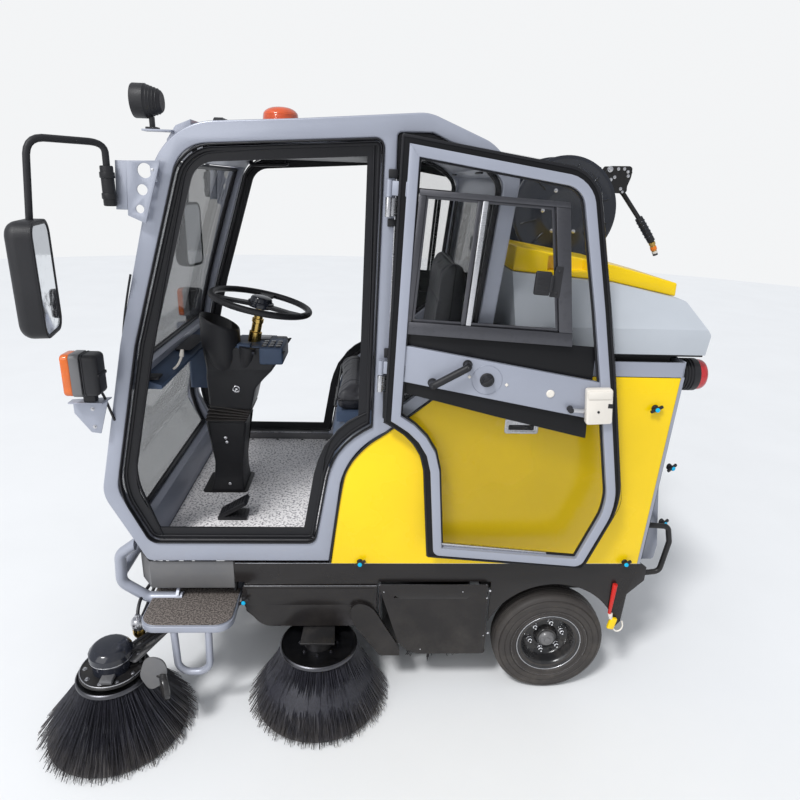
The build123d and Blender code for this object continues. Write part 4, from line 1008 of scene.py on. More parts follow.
def buildDiscBrush(name, body, node, values, place, seed):
    x, y, top, plate = place
    dice = random.Random(seed)
    bm = bmesh.new()
    addTurned(bm, (x, y, top - 16), (x, y, top),
              [(0, 0), (0, plate - 6), (3, plate), (11, plate), (14, plate - 2), (16, plate - 5),
               (13, plate - 9), (11, plate - 14), (11, 46), (16, 40), (18, 30), (18, 0)], 64)
    for across, along in around(8, 66):
        addBolt(bm, (x + across, y + along, top - 5), upwards, 6)
    emit(name + "Plate", bm, "darkSteel", body, (node,), both=True)
    bm = bmesh.new()
    addTurned(bm, (x, y, 0), (x, y, 1),
              [(top - 15, 66), (top - 15, plate - 18), (top - 60, plate + 4), (top - 120, plate + 50),
               (22, 216), (8, 226), (6, 206), (top - 120, 140), (top - 60, 92), (top - 15, 66)], 48)
    emit(name + "Core", bm, "bristle", body, both=True, smooth=60)
    bm = bmesh.new()
    for bundle in range(values["bundles"]):
        base = 2 * pi * bundle / values["bundles"]
        for hair in range(values["hairs"]):
            turn = base + dice.uniform(-0.045, 0.045)
            inner = dice.uniform(plate - 22, plate - 8)
            if hair % 3:
                outer = min(values["farthest"], values["reach"] + dice.uniform(-34, 3))
            else:
                outer = dice.uniform(205, 245)
            swing = turn + dice.uniform(-0.05, 0.05)
            low = dice.uniform(5, 16)
            middle = Vector((x + cos(turn) * (inner + outer) * 0.47, y + sin(turn) * (inner + outer) * 0.47,
                             low + (top - 15 - low) * 0.56))
            start = Vector((x + cos(turn) * inner, y + sin(turn) * inner, top - 14))
            end = Vector((x + cos(swing) * outer, y + sin(swing) * outer, low))
            addHair(bm, start, middle, 2.3)
            addHair(bm, middle, end, 1.9)
    emit(name + "Bristle", bm, "bristle", body, both=True, smooth=80)


mainBrushValues = {"centre": (-425, 178), "rows": 12, "tufts": 58, "pitch": 13, "reach": 171}


def buildMainBrush(values):
    x, z = values["centre"]
    dice = random.Random(9)
    bm = bmesh.new()
    addRod(bm, (x, -376, z), (x, 376, z), 70, sides=40)
    addRod(bm, (x, -394, z), (x, 394, z), 12)
    emit("mainBrushCore", bm, "blackPlastic", "main_brush", ("main_brush",))
    bm = bmesh.new()
    reach = values["reach"]
    for row in range(values["rows"]):
        for spot in range(values["tufts"]):
            y = -370 + spot * values["pitch"]
            turn = 2 * pi * row / values["rows"] + spot * 0.008  # the rows twist a little along the roller
            for hair in range(3):
                lean = turn + dice.uniform(-0.09, 0.09)
                end = Vector((x + reach * cos(lean), y + dice.uniform(-6, 6), z + reach * sin(lean)))
                addHair(bm, (x + 68 * cos(turn), y, z + 68 * sin(turn)), end, 2.4)
    emit("mainBrushBristle", bm, "bristle", "main_brush", smooth=80)


buildWheels(wheelValues)
print("wheels made:", pieceCount, "pieces")
buildDiscBrush("frontBrush", "front_brush_left", "front_brush_left", brushValues, brushValues["front"], 3)
buildDiscBrush("midBrush", "mid_brush_left", "mid_brush_left", brushValues, brushValues["mid"], 5)
buildMainBrush(mainBrushValues)
print("brushes made:", pieceCount, "pieces")


# front brush arms: motor under a gloss cap, deck plate, bar, hoses and the guide wheel
def buildFrontArm(place):
    x, y = place[:2]
    bm = bmesh.new()
    addTurned(bm, (x, y, 0), (x, y, 1),
              [(236, 10), (236, 103), (238, 105), (244, 105), (246, 103), (246, 10), (236, 10)], 64)
    addSlab(bm, [(-1480, -590, 8), (-1440, -650, 8), (-1560, -700, 8), (-1600, -640, 8)], 246, 254, "top",
            1.5)
    addTube(bm, [(-1285, -395, 330), (-1370, -395, 318), (-1470, -600, 262), (-1510, -634, 262)], 17, 30)
    addTurned(bm, (-1275, -366, 330), (-1275, -424, 330),
              [(0, 13), (0, 26), (2, 28), (56, 28), (58, 26), (58, 13), (0, 13)], 32)
    addRod(bm, (-1440, -660, 250), (-1352, -706, 250), 8)
    addRod(bm, (-1352, -706, 256), (-1352, -706, 214), 7)
    emit("brushArm", bm, "blackCoat", "front_arm_left", ("front_arm_left",), both=True)


def buildBrushMotor(place):
    x, y = place[:2]
    bm = bmesh.new()
    addTurned(bm, (x, y, 0), (x, y, 1),
              [(246, 0), (246, 63), (290, 63), (290, 66), (293, 69), (313, 69), (317, 67), (327, 58),
               (331, 53), (333, 47), (333, 0)], 20)
    emit("brushMotorCap", bm, "glossPlastic", "front_arm_left", both=True, smooth=22)
    bm = bmesh.new()
    addRing(bm, (x, y, 291), (0, 0, 1), 67.5, 1.5, 64, 6)
    addRing(bm, (x, y, 247.5), (0, 0, 1), 101, 1.6, 64, 6)
    for across, along in around(10, 86, 0.2):
        addBolt(bm, (x + across, y + along, 246), upwards, 6)
    for spot in ((-1452, -628, 276), (-1420, -560, 276), (-1396, -514, 276)):
        addBolt(bm, spot, upwards, 7)
    addBlock(bm, (-1500, -640, 292), (-1464, -612, 310), 2.5)
    emit("brushMotorBolts", bm, "plainSteel", "front_arm_left", both=True)
    # flat strap over the bent bar
    bm = bmesh.new()
    addSlab(bm, [(-1482, -652, 12), (-1446, -668, 12), (-1378, -500, 12), (-1414, -486, 12)], 268, 276, "top",
            1.5)
    addBlock(bm, (-1540, -740, 246), (-1500, -700, 262), 3)
    addBlock(bm, (-1474, -612, 262), (-1446, -584, 300), 3)
    emit("brushArmStrap", bm, "apronPaint", "front_arm_left", both=True)
    bm = bmesh.new()
    addTube(bm, [(-1478, -628, 306), (-1452, -600, 313), (-1404, -532, 306), (-1362, -462, 312),
                 (-1300, -420, 310)], 6)
    addTube(bm, [(-1470, -646, 298), (-1430, -610, 304), (-1384, -530, 292), (-1334, -450, 286),
                 (-1296, -400, 300)], 6)
    emit("brushMotorHoses", bm, "hoseRubber", "front_arm_left", both=True, smooth=60)


def buildGuideWheel():
    bm = bmesh.new()
    addSlab(bm, [(-1402, 318, 14), (-1358, 330, 26), (-1330, 292, 26), (-1340, 226, 20), (-1394, 190, 20),
                 (-1424, 250, 20)], -706, -700, bevel=1.5)
    emit("brushGuidePlate", bm, "apronPaint", "front_arm_left", both=True)
    bm = bmesh.new()
    turn = Vector((cos(radians(28)), sin(radians(28)), 0))
    middle = Vector((-1345, -710, 214))
    addTurned(bm, middle - turn * 12, middle + turn,
              [(0, 9), (0, 34), (2, 37), (4, 45), (8, 46.5), (16, 46.5), (20, 45), (22, 37), (24, 34),
               (24, 9), (0, 9)], 40)
    emit("brushGuideWheel", bm, "rimBlack", "front_arm_left", both=True)


def buildPump():
    # water filter with its brass bowl, clamped to the arm beside the step
    x, y = -1470, -552
    bm = bmesh.new()
    addTurned(bm, (x, y, 322), (x, y, 400), [(0, 0), (0, 22), (18, 24), (30, 22), (38, 16), (40, 0)], 28)
    addRod(bm, (x, y, 360), (x, y, 374), 9, 9, 6)
    addBlock(bm, (x - 6, y - 30, 330), (x + 6, y + 30, 342), 2.5)
    emit("filterCap", bm, "plainSteel", "front_arm_left", both=True)
    bm = bmesh.new()
    addTurned(bm, (x, y, 286), (x, y, 400), [(0, 0), (0, 12), (4, 17), (14, 21), (38, 21.5), (38, 0)], 28)
    emit("filterBowl", bm, "brass", "front_arm_left", both=True)
    bm = bmesh.new()
    addBlock(bm, (x - 8, y - 12, 264), (x + 20, y + 12, 290), 3)
    emit("filterStay", bm, "blackCoat", "front_arm_left", both=True)
    # two hoses that cross the arm's joint, then one that stays on the machine
    bm = bmesh.new()
    addTube(bm, [(x, y + 4, 372), (x - 4, y + 30, 400), (-1462, -470, 418), (-1440, -430, 440),
                 (-1400, -400, 480)], 6)
    addTube(bm, [(x, y + 26, 336), (-1468, -490, 340), (-1456, -440, 380), (-1436, -400, 430),
                 (-1420, -380, 480)], 6)
    emit("waterHoses", bm, "hoseRubber", "front_arm_left", both=True, smooth=60,
         bend=("machine", (x, y, 360), (-1430, -420, 450)))
    bm = bmesh.new()
    addTube(bm, [(-1150, -420, 470), (-1150, -470, 380), (-1180, -480, 300), (-1260, -440, 260),
                 (-1330, -440, 290), (-1360, -440, 400), (-1350, -400, 470)], 8)
    emit("supplyHose", bm, "hoseRubber", both=True, smooth=60)


buildFrontArm(brushValues["front"])
buildBrushMotor(brushValues["front"])
buildGuideWheel()
buildPump()
soften("brush_hangers", "blackCoat", width=1.2)
soften("steering_fork", "blackCoat", "steering_fork", 2.0)
print("brush arms made:", pieceCount, "pieces")


# steering column: flared foot, slanted bellows folds, binnacle pod and the wheel
# wheel, hub and shaft: how far up the leaning column each stands
columnValues = {"foot": (-1258, 0, 606), "lean": 12, "folds": 5, "rim": 183, "grip": 13, "wheel": 776,
                "spokePlane": 766, "hub": 734, "shaft": 728, "spokes": (90, 208, 332)}
columnLean = Vector((sin(radians(columnValues["lean"])), 0, cos(radians(columnValues["lean"]))))
columnFrame = (Matrix.Translation(columnValues["foot"])
               @ Matrix.Rotation(radians(columnValues["lean"]), 4, "Y"))
footFrame = Matrix.Translation((-1245, 0, 606))
bodyFrame = Matrix.Translation((-1217, 0, 956))


def addStage(bm, sections, bevel=6, frameOf=None, segments=3, angle=25):
    # lofted block: each section is (height, middle x, half depth, half width)
    fresh = bmesh.new()
    loops = []
    for height, middle, depth, width in sections:
        old = set(fresh.edges)
        made = bmesh.ops.create_grid(fresh, x_segments=1, y_segments=1, size=1)["verts"]
        bmesh.ops.transform(fresh, verts=made, matrix=Matrix.Translation((middle, 0, height))
                            @ Matrix.Diagonal((depth, width, 1, 1)))
        loops.append([edge for edge in fresh.edges if edge not in old])
    low, high = sections[0][0] + 0.01, sections[-1][0] - 0.01
    inner = [face for face in fresh.faces if low < face.calc_center_median().z < high]
    bmesh.ops.delete(fresh, geom=inner, context="FACES_ONLY")
    for first, second in zip(loops, loops[1:]):
        bmesh.ops.bridge_loops(fresh, edges=first + second)
    roundEdges(fresh, bevel, segments, angle)
    settle(bm, fresh, frameOf if frameOf is not None else columnFrame)


def buildColumn(values):
    bm = bmesh.new()
    addStage(bm, [(-2, 0, 66, 82), (12, 0, 64, 80), (60, 3, 57, 68), (120, 6, 55, 66), (290, 8, 70, 76),
                  (304, 8, 77, 82)], 7, footFrame, angle=8)
    emit("columnFoot", bm, "blackPlastic", replaces=("steering_column",))
    bm = bmesh.new()
    addSlab(bm, rectangle(-1345, -95, -1165, 95, 20), 606, 610, "top", 1.5)
    emit("columnFlange", bm, "blackCoat")
    bm = bmesh.new()
    for place in ((-1244, -76, 838), (-1240, -76, 820), (-1236, -80, 640)):
        addBolt(bm, place, sideways, 5, "dome")
    emit("columnScrews", bm, "chrome")
    bm = bmesh.new()
    for fold in range(values["folds"]):
        # each fold leans a little more than the one below
        tilt = (Matrix.Translation((-1236 + fold * 4, 0, 908 + fold * 12))
                @ Matrix.Rotation(radians(fold * 2.4), 4, "Y"))
        addStage(bm, [(0, 0, 70, 76), (5, 0, 79, 85), (8, 0, 79, 85), (13.5, 0, 70, 76)], 1.6, tilt, 2)
    emit("columnBellows", bm, "tyreRubber", smooth=50)


def buildBinnacle():
    bm = bmesh.new()
    addStage(bm, [(0, 0, 77, 80), (12, 1, 80, 83), (92, 10, 90, 92), (135, 28, 108, 100), (168, 46, 122, 104),
                  (238, 66, 140, 106), (256, 68, 138, 104)], 16, bodyFrame, 4, 9)
    # lobe that covers the shaft's housing
    addTurned(bm, (-1153, -82, 1120), (-1136, -86, 1216),
              [(0, 0), (0, 12), (16, 22), (50, 31), (96, 36), (98, 0)], 36)
    emit("binnacle", bm, "blackPlastic", smooth=50)
    # open cup whose mouth leans back towards the seat: spun upright, then sheared
    fresh = bmesh.new()
    addTurned(fresh, (0, 0, 0), (0, 0, 1),
              [(0, 0), (2, 22), (22, 42), (56, 60), (100, 71), (140, 73), (204, 72), (210, 71), (213, 68),
               (210, 65), (172, 63), (164, 56), (162, 0)], 64)
    shear = Matrix(((1, 0, 0, 0), (0, 1, 0, 0), (-0.42, 0, 1, 0), (0, 0, 0, 1)))
    bmesh.ops.transform(fresh, matrix=Matrix.Translation((-1243, -56, 1090)) @ shear, verts=fresh.verts)
    emit("binnacleCup", fresh, "blackPlastic", smooth=50)
    bm = bmesh.new()
    addRing(bm, (-1243, -56, 1264), (0.4, 0, 1), 44, 3, 40, 8)
    addTurned(bm, columnFrame @ Vector((0, 0, 600)), columnFrame @ Vector((0, 0, 760)),
              [(0, 0), (0, 24), (60, 24), (62, 19), (96, 19), (98, 22), (112, 22), (114, 17), (150, 17),
               (150, 0)], 28)
    emit("columnBearing", bm, "brass")


def buildSwitches():
    bm = bmesh.new()
    addBlock(bm, (-1196, -98, 1196), (-1052, 98, 1215), 4)
    addBlock(bm, (-1094, -112, 1150), (-1006, 64, 1214), 8, segments=3)
    addBlock(bm, (-1176, -104, 1208), (-1126, -60, 1226), 5)
    emit("switchBox", bm, "dashPlastic")
    bm = bmesh.new()
    for x in (-1078, -1052, -1026):
        for y in (-84, -50, -16):
            addBlock(bm, (x - 9, y - 11, 1212), (x + 9, y + 11, 1219), 2)
    addBlock(bm, (-1150, 10, 1214), (-1070, 84, 1219), 2)
    addTube(bm, [(-1110, -100, 1190), (-1108, -150, 1205), (-1104, -176, 1212)], 5)
    emit("switchCaps", bm, "glossPlastic")
    bm = bmesh.new()
    spot = Vector((-1187, -96, 1048))
    addRing(bm, spot, (0.1, -1, -0.05), 12, 3, 28, 8)
    addRod(bm, spot + Vector((0, 6, 0)), spot + Vector((0, -3, 0)), 5)
    addBlock(bm, (spot.x - 1.2, spot.y - 20, spot.z - 6), (spot.x + 1.2, spot.y, spot.z + 6), 0.5)
    emit("keySwitch", bm, "chrome")
    bm = bmesh.new()
    for place in ((-1070, -104, 1170), (-1040, -105, 1184)):
        addBolt(bm, place, sideways, 4.5, "dome")
    emit("binnacleScrews", bm, "plainSteel")


def buildPedal():
    # ribbed plate on a short post over its base
    bm = bmesh.new()
    addBlock(bm, (-1235, -316, 607), (-1130, -244, 620), 3)
    for row in range(7):
        addBlock(bm, (-1228 + row * 14, -310, 619), (-1221 + row * 14, -250, 623), 1.2)
    emit("pedalBase", bm, "blackPlastic", replaces=("pedal",))
    bm = bmesh.new()
    tilt = Matrix.Translation((-1178, -280, 648)) @ Matrix.Rotation(radians(-30), 4, "Y")
    addSlab(bm, rectangle(-58, -36, 58, 36, 10), -8, 8, bevel=4, frameOf=tilt)
    for row in range(9):
        addSlab(bm, rectangle(-54 + row * 13, -27, -48 + row * 13, 27, 1), 7.5, 10, bevel=0.8, frameOf=tilt)
    addRod(bm, (-1200, -280, 616), (-1200, -280, 650), 8)
    emit("pedalPlate", bm, "sealRubber")


def buildSteeringWheel(values):
    middle = columnFrame @ Vector((0, 0, values["wheel"]))
    bm = bmesh.new()
    addRing(bm, middle, columnLean, values["rim"], values["grip"], 96, 20, 0.92)
    for spoke in values["spokes"]:
        spin = (columnFrame @ Matrix.Translation((0, 0, values["spokePlane"]))
                @ Matrix.Rotation(radians(spoke), 4, "Z") @ Matrix.Rotation(radians(-3), 4, "Y"))
        addSlab(bm, [(30, -24, 3), (120, -19, 3), (176, -33, 3), (180, 0), (176, 33, 3), (120, 19, 3),
                     (30, 24, 3)], -6, 6, bevel=4, frameOf=spin, segments=3)
    emit("steeringRim", bm, "blackPlastic", "steering_wheel", ("steering_wheel",), 50)
    bm = bmesh.new()
    addTurned(bm, columnFrame @ Vector((0, 0, values["hub"])), columnFrame @ Vector((0, 0, 800)),
              [(0, 0), (0, 15), (14, 16), (20, 34), (24, 46), (38, 50), (44, 48), (46, 43), (50, 41),
               (56, 40), (62, 36), (65, 28), (66, 0)], 48)
    emit("steeringHub", bm, "glossPlastic", "steering_wheel")
    bm = bmesh.new()
    addTurned(bm, columnFrame @ Vector((0, 0, values["shaft"])), columnFrame @ Vector((0, 0, 800)),
              [(0, 0), (0, 12), (12, 12), (14, 16), (20, 16), (20, 0)], 28)
    emit("steeringShaft", bm, "plainSteel", "steering_wheel")


# seat: swollen cushions with sewn lines and piping, over a plain base
seatValues = {"swell": 16, "voxel": 0.006, "frames": 16, "cushionSeams": (-720, -560),
              "backrestSeams": (1230, 1420), "sideSeam": 150, "seamDepth": 0.006, "sideSeamDepth": 0.005,
              "seamWidth": 11, "sideSeamWidth": 10, "seamReach": 0.2, "cushionTop": 1.06,
              "backrestFront": -395, "pressure": 4, "clothQuality": 5}


def inflate(piece, values):
    # pressure makes the pad swell; its displacement is capped so that it stays in its space
    remesh = piece.modifiers.new("work", "REMESH")
    remesh.mode, remesh.voxel_size = "VOXEL", values["voxel"]
    bakeModifiers(piece)
    before = [point.co.copy() for point in piece.data.vertices]
    cloth = piece.modifiers.new("work", "CLOTH")
    cloth.settings.use_pressure = True
    cloth.settings.uniform_pressure_force = values["pressure"]
    cloth.settings.effector_weights.gravity = 0
    cloth.settings.quality = values["clothQuality"]
    cloth.point_cache.frame_end = values["frames"]
    for step in range(1, values["frames"] + 1):
        bpy.context.scene.frame_set(step)
    bakeModifiers(piece)
    bpy.context.scene.frame_set(1)
    for point, home in zip(piece.data.vertices, before):
        moved = point.co - home
        if moved.length > values["swell"] / 1000:
            point.co = home + moved.normalized() * values["swell"] / 1000
    mesh = bmesh.new()
    mesh.from_mesh(piece.data)
    bmesh.ops.smooth_vert(mesh, verts=mesh.verts, factor=0.5, use_axis_x=True, use_axis_y=True,
                          use_axis_z=True)
    mesh.to_mesh(piece.data)
    mesh.free()


def bakeModifiers(piece):
    graph = bpy.context.evaluated_depsgraph_get()
    mesh = bpy.data.meshes.new_from_object(piece.evaluated_get(graph))
    old = piece.data
    piece.modifiers.clear()
    piece.data = mesh
    bpy.data.meshes.remove(old)
    if not mesh.materials:
        mesh.materials.append(looks["seatVinyl"][0].material)


def pressSeams(piece, values, isCushion):
    # sewn lines across the top of the cushion or the front of the backrest, and along its two sides
    axis, inward = (2, -1) if isCushion else (0, 1)
    for point in piece.data.vertices:
        x, y, z = point.co
        along = x * 1000 - rearAxle if isCushion else z * 1000
        if z <= values["cushionTop"] if isCushion else x >= (values["backrestFront"] + rearAxle) / 1000:
            continue
        for line in values["cushionSeams" if isCushion else "backrestSeams"]:
            near = max(0.0, 1 - abs(along - line) / values["seamWidth"])
            if abs(y) < values["seamReach"]:
                point.co[axis] += inward * values["seamDepth"] * near * near
        side = max(0.0, 1 - abs(abs(y * 1000) - values["sideSeam"]) / values["sideSeamWidth"])
        if side > 0:
            point.co[axis] += inward * values["sideSeamDepth"] * side * side


def buildSeat(values):
    # start a little smaller than the CAD pads, leaving room to swell
    seatLow = bmesh.new()
    addSlab(seatLow, [(-804, 1022, 20), (-404, 1022, 20), (-404, 1092, 22), (-798, 1094, 26)], -240, 240,
            bevel=16)
    seatBack = bmesh.new()
    addSlab(seatBack, [(-462, 1116, 20), (-386, 1112, 16), (-362, 1550, 20), (-414, 1562, 24)], -226, 226,
            bevel=16)
    for name, bm in (("seatCushion", seatLow), ("seatBackrest", seatBack)):
        piece = emit(name, bm, "seatVinyl", replaces=("seat_pads",), smooth=80)[0]
        inflate(piece, values)
        pressSeams(piece, values, name == "seatCushion")
        piece.data.shade_smooth()
        smooth = piece.modifiers.new("finish", "SUBSURF")
        smooth.levels = smooth.render_levels = 1
    bm = bmesh.new()
    addTube(bm, [(-800, -236, 1060), (-800, 236, 1060), (-420, 240, 1056), (-420, -240, 1056)], 3.5, 30, True)
    addTube(bm, [(-424, -222, 1130), (-424, 222, 1130), (-392, 222, 1548), (-392, -222, 1548)], 3.5, 30, True)
    emit("seatPiping", bm, "sealRubber", smooth=70)
    bm = bmesh.new()
    addBlock(bm, (-770, -190, 978), (-440, 190, 1012), 4)
    for y in (-170, 162):
        addBlock(bm, (-784, y, 975), (-400, y + 8, 984), 1)
    addTube(bm, [(-790, -120, 994), (-812, -120, 994), (-812, 120, 994), (-790, 120, 994)], 4.5, 14)
    emit("seatSlides", bm, "blackCoat", smooth=60)


buildColumn(columnValues)
buildBinnacle()
buildSwitches()
buildPedal()
buildSteeringWheel(columnValues)
print("controls made:", pieceCount, "pieces")
buildSeat(seatValues)
print("seat made:", pieceCount, "pieces")

# rear lid, its yellow cover, the hose reel and the spray gun
reelValues = {"centre": (45, 150, 1730), "pads": 6, "spokes": 12, "turns": 8, "hose": 9}


def buildLid():
    soften("rear_lid", "lidPaint", "rear_lid", 9, 4, angle=22)
    # raised cover: the CAD shape with its rear edge lifted to a blunt end
    bm = cleanCopy("lid_cover")
    bmesh.ops.transform(bm, matrix=toFrame.inverted(), verts=bm.verts)
    tail = [point for point in bm.verts if point.co.x > 320]
    bmesh.ops.translate(bm, vec=(-13, 0, 29), verts=tail)
    roundEdges(bm, 6, 4, 22)
    emit("lidCoverSoft", bm, "yellowPaint", "rear_lid", ("lid_cover",))
    bm = bmesh.new()
    for side in (-1, 1):
        addTube(bm, [(-232, side * 494, 1320), (60, side * 499, 1318), (380, side * 494, 1318)], 4)
    emit("lidEdgeSeal", bm, "sealRubber", "rear_lid", smooth=60)


def buildReel(values):
    x, y, z = values["centre"]
    bm = bmesh.new()
    for side, start in ((1, y - 100), (-1, y + 100)):
        # pressed disc: rolled rim, a raised ring and a sunk middle
        addTurned(bm, (x, start, z), (x, start + side, z),
                  [(0.8, 24), (0.8, 60), (-3.5, 72), (-3.5, 96), (0.8, 106), (0.8, 176), (-2.2, 184),
                   (-2.2, 194), (0, 198), (4, 198), (5.6, 194), (5.6, 106), (5, 96), (5, 24), (0.8, 24)], 96)
    addRod(bm, (x, y - 95, z), (x, y + 95, z), 72, sides=40)
    # small pads on the inside of each disc
    for across, up in around(values["pads"], 118, offset=0.5):
        for side in (-1, 1):
            addSlab(bm, rectangle(x + across - 11, z + up - 5, x + across + 11, z + up + 5, 4),
                    y + side * 94 - 1, y + side * 94 + 1, bevel=0.5)
    # pressed spokes on the outside of each disc
    for inner, outer in zip(around(values["spokes"], 110, 0.3), around(values["spokes"], 172, 0.3)):
        for face in (y - 100.5, y + 100.5):
            addRod(bm, (x + inner[0], face, z + inner[1]), (x + outer[0], face, z + outer[1]), 3, 3, 10, 1)
    emit("reelDiscs", bm, "glossPlastic", "hose_reel", ("hose_reel",), 40)
    bm = bmesh.new()
    for side in (-1, 1):
        face = y + side * 101
        for across, up in around(6, 84):
            addBolt(bm, (x + across, face + side * 2, z + up), (0, side, 0), 6)
        addRing(bm, (x, face + side * 2, z), (0, 1, 0), 17, 3, 40, 8)
        addRod(bm, (x, face - side * 6, z), (x, face + side * 3, z), 13, 11, 30, 2)
    emit("reelBolts", bm, "plainSteel", "hose_reel")
    bm = bmesh.new()
    for layer, shift in ((132, 0), (114, 6)):
        for turn in range(values["turns"]):
            spot = y - 84 + turn * 23.8 + shift
            if spot < y + 86:
                addRing(bm, (x, spot, z), (0, 1, 0), layer, values["hose"], 64, 10)
    emit("woundHose", bm, "hoseRubber", "hose_reel", ("wound_hose",), 60)


def buildReelStand():
    soften("reel_stand", "blackCoat", "rear_lid", 1.5)
    # bolts of the guide plate, then those of the stand and its foot
    bm = bmesh.new()
    for x, z, size in ((221, 1886, 9), (253, 1888, 5), (276, 1889, 5), (291, 1879, 5), (294, 1864, 5),
                       (229, 1849, 5), (242, 1858, 5), (271, 1817, 5), (280, 1806, 4)):
        addBolt(bm, (x, 108, z), sideways, size)
    addBolt(bm, (45, 272, 1730), (0, 1, 0), 12)
    addBolt(bm, (45, 262, 1500), sideways, 7)
    for x in (-30, 120):
        addBolt(bm, (x, 292, 1506), upwards, 8)
    emit("reelStandBolts", bm, "plainSteel", "rear_lid")
    bm = bmesh.new()
    addSlab(bm, [(186, 1852, 10), (222, 1898, 10), (308, 1898, 10), (308, 1862, 8), (298, 1830, 10),
                 (288, 1800, 8), (232, 1800, 20)], 109, 115, bevel=1.2)
    addRod(bm, (212, 112, 1858), (212, 270, 1858), 6)
    emit("hoseGuidePlate", bm, "blackCoat", "rear_lid")
    bm = bmesh.new()
    for x, z in ((236, 1878), (288, 1842)):
        addTurned(bm, (x, 124, z), (x, 176, z),
                  [(0, 0), (0, 10.5), (5, 11), (20, 8.5), (32, 8.5), (47, 11), (52, 10.5), (52, 0)], 24)
    emit("hoseRollers", bm, "hoseRubber", "rear_lid")


# each part of the gun's nozzle: look, how far along it starts, its profile
gunTipParts = {"gunTipBrass": ("brass", 0, [(4, 0), (4, 13), (14, 13), (16, 11), (44, 10), (46, 0)]),
               "gunTipRing": ("orangePlastic", 0.42, [(-2, 0), (-2, 12.5), (10, 12.8), (13, 11), (13, 0)]),
               "gunTipSeal": ("creamPlastic", 0.72, [(-1, 0), (-1, 10.5), (6, 11), (9, 10), (9, 0)])}


def buildSprayGun():
    soften("spray_gun", "blackPlastic", "rear_lid", 1.5)
    bm = bmesh.new()
    start, end, tip = Vector((377, 150, 1710)), Vector((444, 150, 1622)), Vector((470, 150, 1568))
    for row in range(5):
        spot = start.lerp(end, 0.16 + row * 0.15)
        addRing(bm, spot, end - start, 15.2, 2.2, 32, 8)
    emit("gunGripRibs", bm, "glossPlastic", "rear_lid", smooth=60)
    for name, (look, along, profile) in gunTipParts.items():
        bm = bmesh.new()
        addTurned(bm, end.lerp(tip, along), tip, profile, 24)
        emit(name, bm, look, "rear_lid")


buildLid()
buildReel(reelValues)
buildReelStand()
buildSprayGun()
print("lid and reel made:", pieceCount, "pieces")


# lamps, beacon and mirrors
lampValues = {"signal": (-586, 1251), "tail": (-440, 1241), "work": (-480, 1998), "beacon": (-1004, 0)}
mirrorValues = {"turn": 12, "place": (-1524, -720, 1547), "width": 172, "height": 292, "round": 40}
mirrorTurn = radians(mirrorValues["turn"])
mirrorX, mirrorY, mirrorZ = mirrorValues["place"]
mirrorFrame = Matrix(((-sin(mirrorTurn), 0, cos(mirrorTurn), mirrorX),
                      (cos(mirrorTurn), 0, sin(mirrorTurn), mirrorY), (0, 1, 0, mirrorZ), (0, 0, 0, 1)))


def panelCorners(middle, width, height, cut):
    y, z = middle
    return rectangle(y - width / 2, z - height / 2, y + width / 2, z + height / 2, cut)


def buildSignals(spot):
    bm = bmesh.new()
    addSlab(bm, panelCorners(spot, 70, 126, 14), -1573, -1545, "front", 7, segments=3)
    addSlab(bm, panelCorners(spot, 30, 108, 6), -1574, -1560, "front", 2)
    emit("signalLens", bm, "amberLens", replaces=("amber_lenses",), both=True)
    bm = bmesh.new()
    addSlab(bm, panelCorners(spot, 72, 130, 14), -1547, -1519, "front", 2.5)
    emit("signalHousing", bm, "apronPaint", replaces=("lamp_housings",), both=True)
    bm = bmesh.new()
    middle = (spot[0] + 1, spot[1] + 1)
    addSlab(bm, panelCorners(middle, 69, 124, 14), -1521, -1470, "front", 15, segments=4)
    addSlab(bm, panelCorners(middle, 56, 10, 3), -1516, -1467, "front", 2)
    addSlab(bm, panelCorners(middle, 71, 126, 14), -1514, -1510, "front", 1)
    addBlock(bm, (-1540, spot[0] + 10, 1157), (-1504, spot[0] + 38, 1190), 4)
    addTube(bm, [(-1500, spot[0] + 30, 1200), (-1492, spot[0] + 40, 1176), (-1486, spot[0] + 48, 1140),
                 (-1478, -520, 1080)], 4)
    emit("signalCover", bm, "blackPlastic", both=True)
    bm = bmesh.new()
    for z in (1126, 1068):
        addBolt(bm, (-1528, -548, z), sideways, 5)
    addBolt(bm, (-1522, spot[0] + 24, 1157), (0, 0, -1), 6)
    addBolt(bm, (-1284, -541, 1822), sideways, 5)
    emit("signalBolts", bm, "plainSteel", both=True)


def buildWorkLights(spot):
    y, z = spot
    back, front = (-1262, y, z), (-1338, y, z)
    bm = bmesh.new()
    addTurned(bm, back, front, [(0, 0), (0, 24), (3, 28), (36, 41), (40, 42), (42, 44), (74, 44), (76, 43),
                                (76, 40), (70, 38.5), (40, 36), (40, 0)], 44)
    for ring in range(4):
        addRing(bm, (-1272 - ring * 8, y, z), (1, 0, 0), 31.2 + ring * 2.6, 1.6, 40, 6)
    addBlock(bm, (-1300, y - 8, 1927), (-1288, y + 8, 1960), 1.5)
    addBlock(bm, (-1310, y - 14, 1927), (-1278, y + 14, 1933), 1.5)
    emit("workLightShell", bm, "blackPlastic", both=True)
    bm = bmesh.new()
    addTurned(bm, back, front, [(41, 0), (41, 16), (56, 34), (71, 38.4), (71, 37.2), (58, 32.5), (44, 14),
                                (43, 0)], 40)
    emit("workLightReflector", bm, "chrome", both=True)
    bm = bmesh.new()
    addTurned(bm, back, front, [(70.5, 0), (70.5, 38.3), (74, 38.3), (75.5, 28), (76, 0)], 40)
    emit("workLightGlass", bm, "clearGlass", both=True)


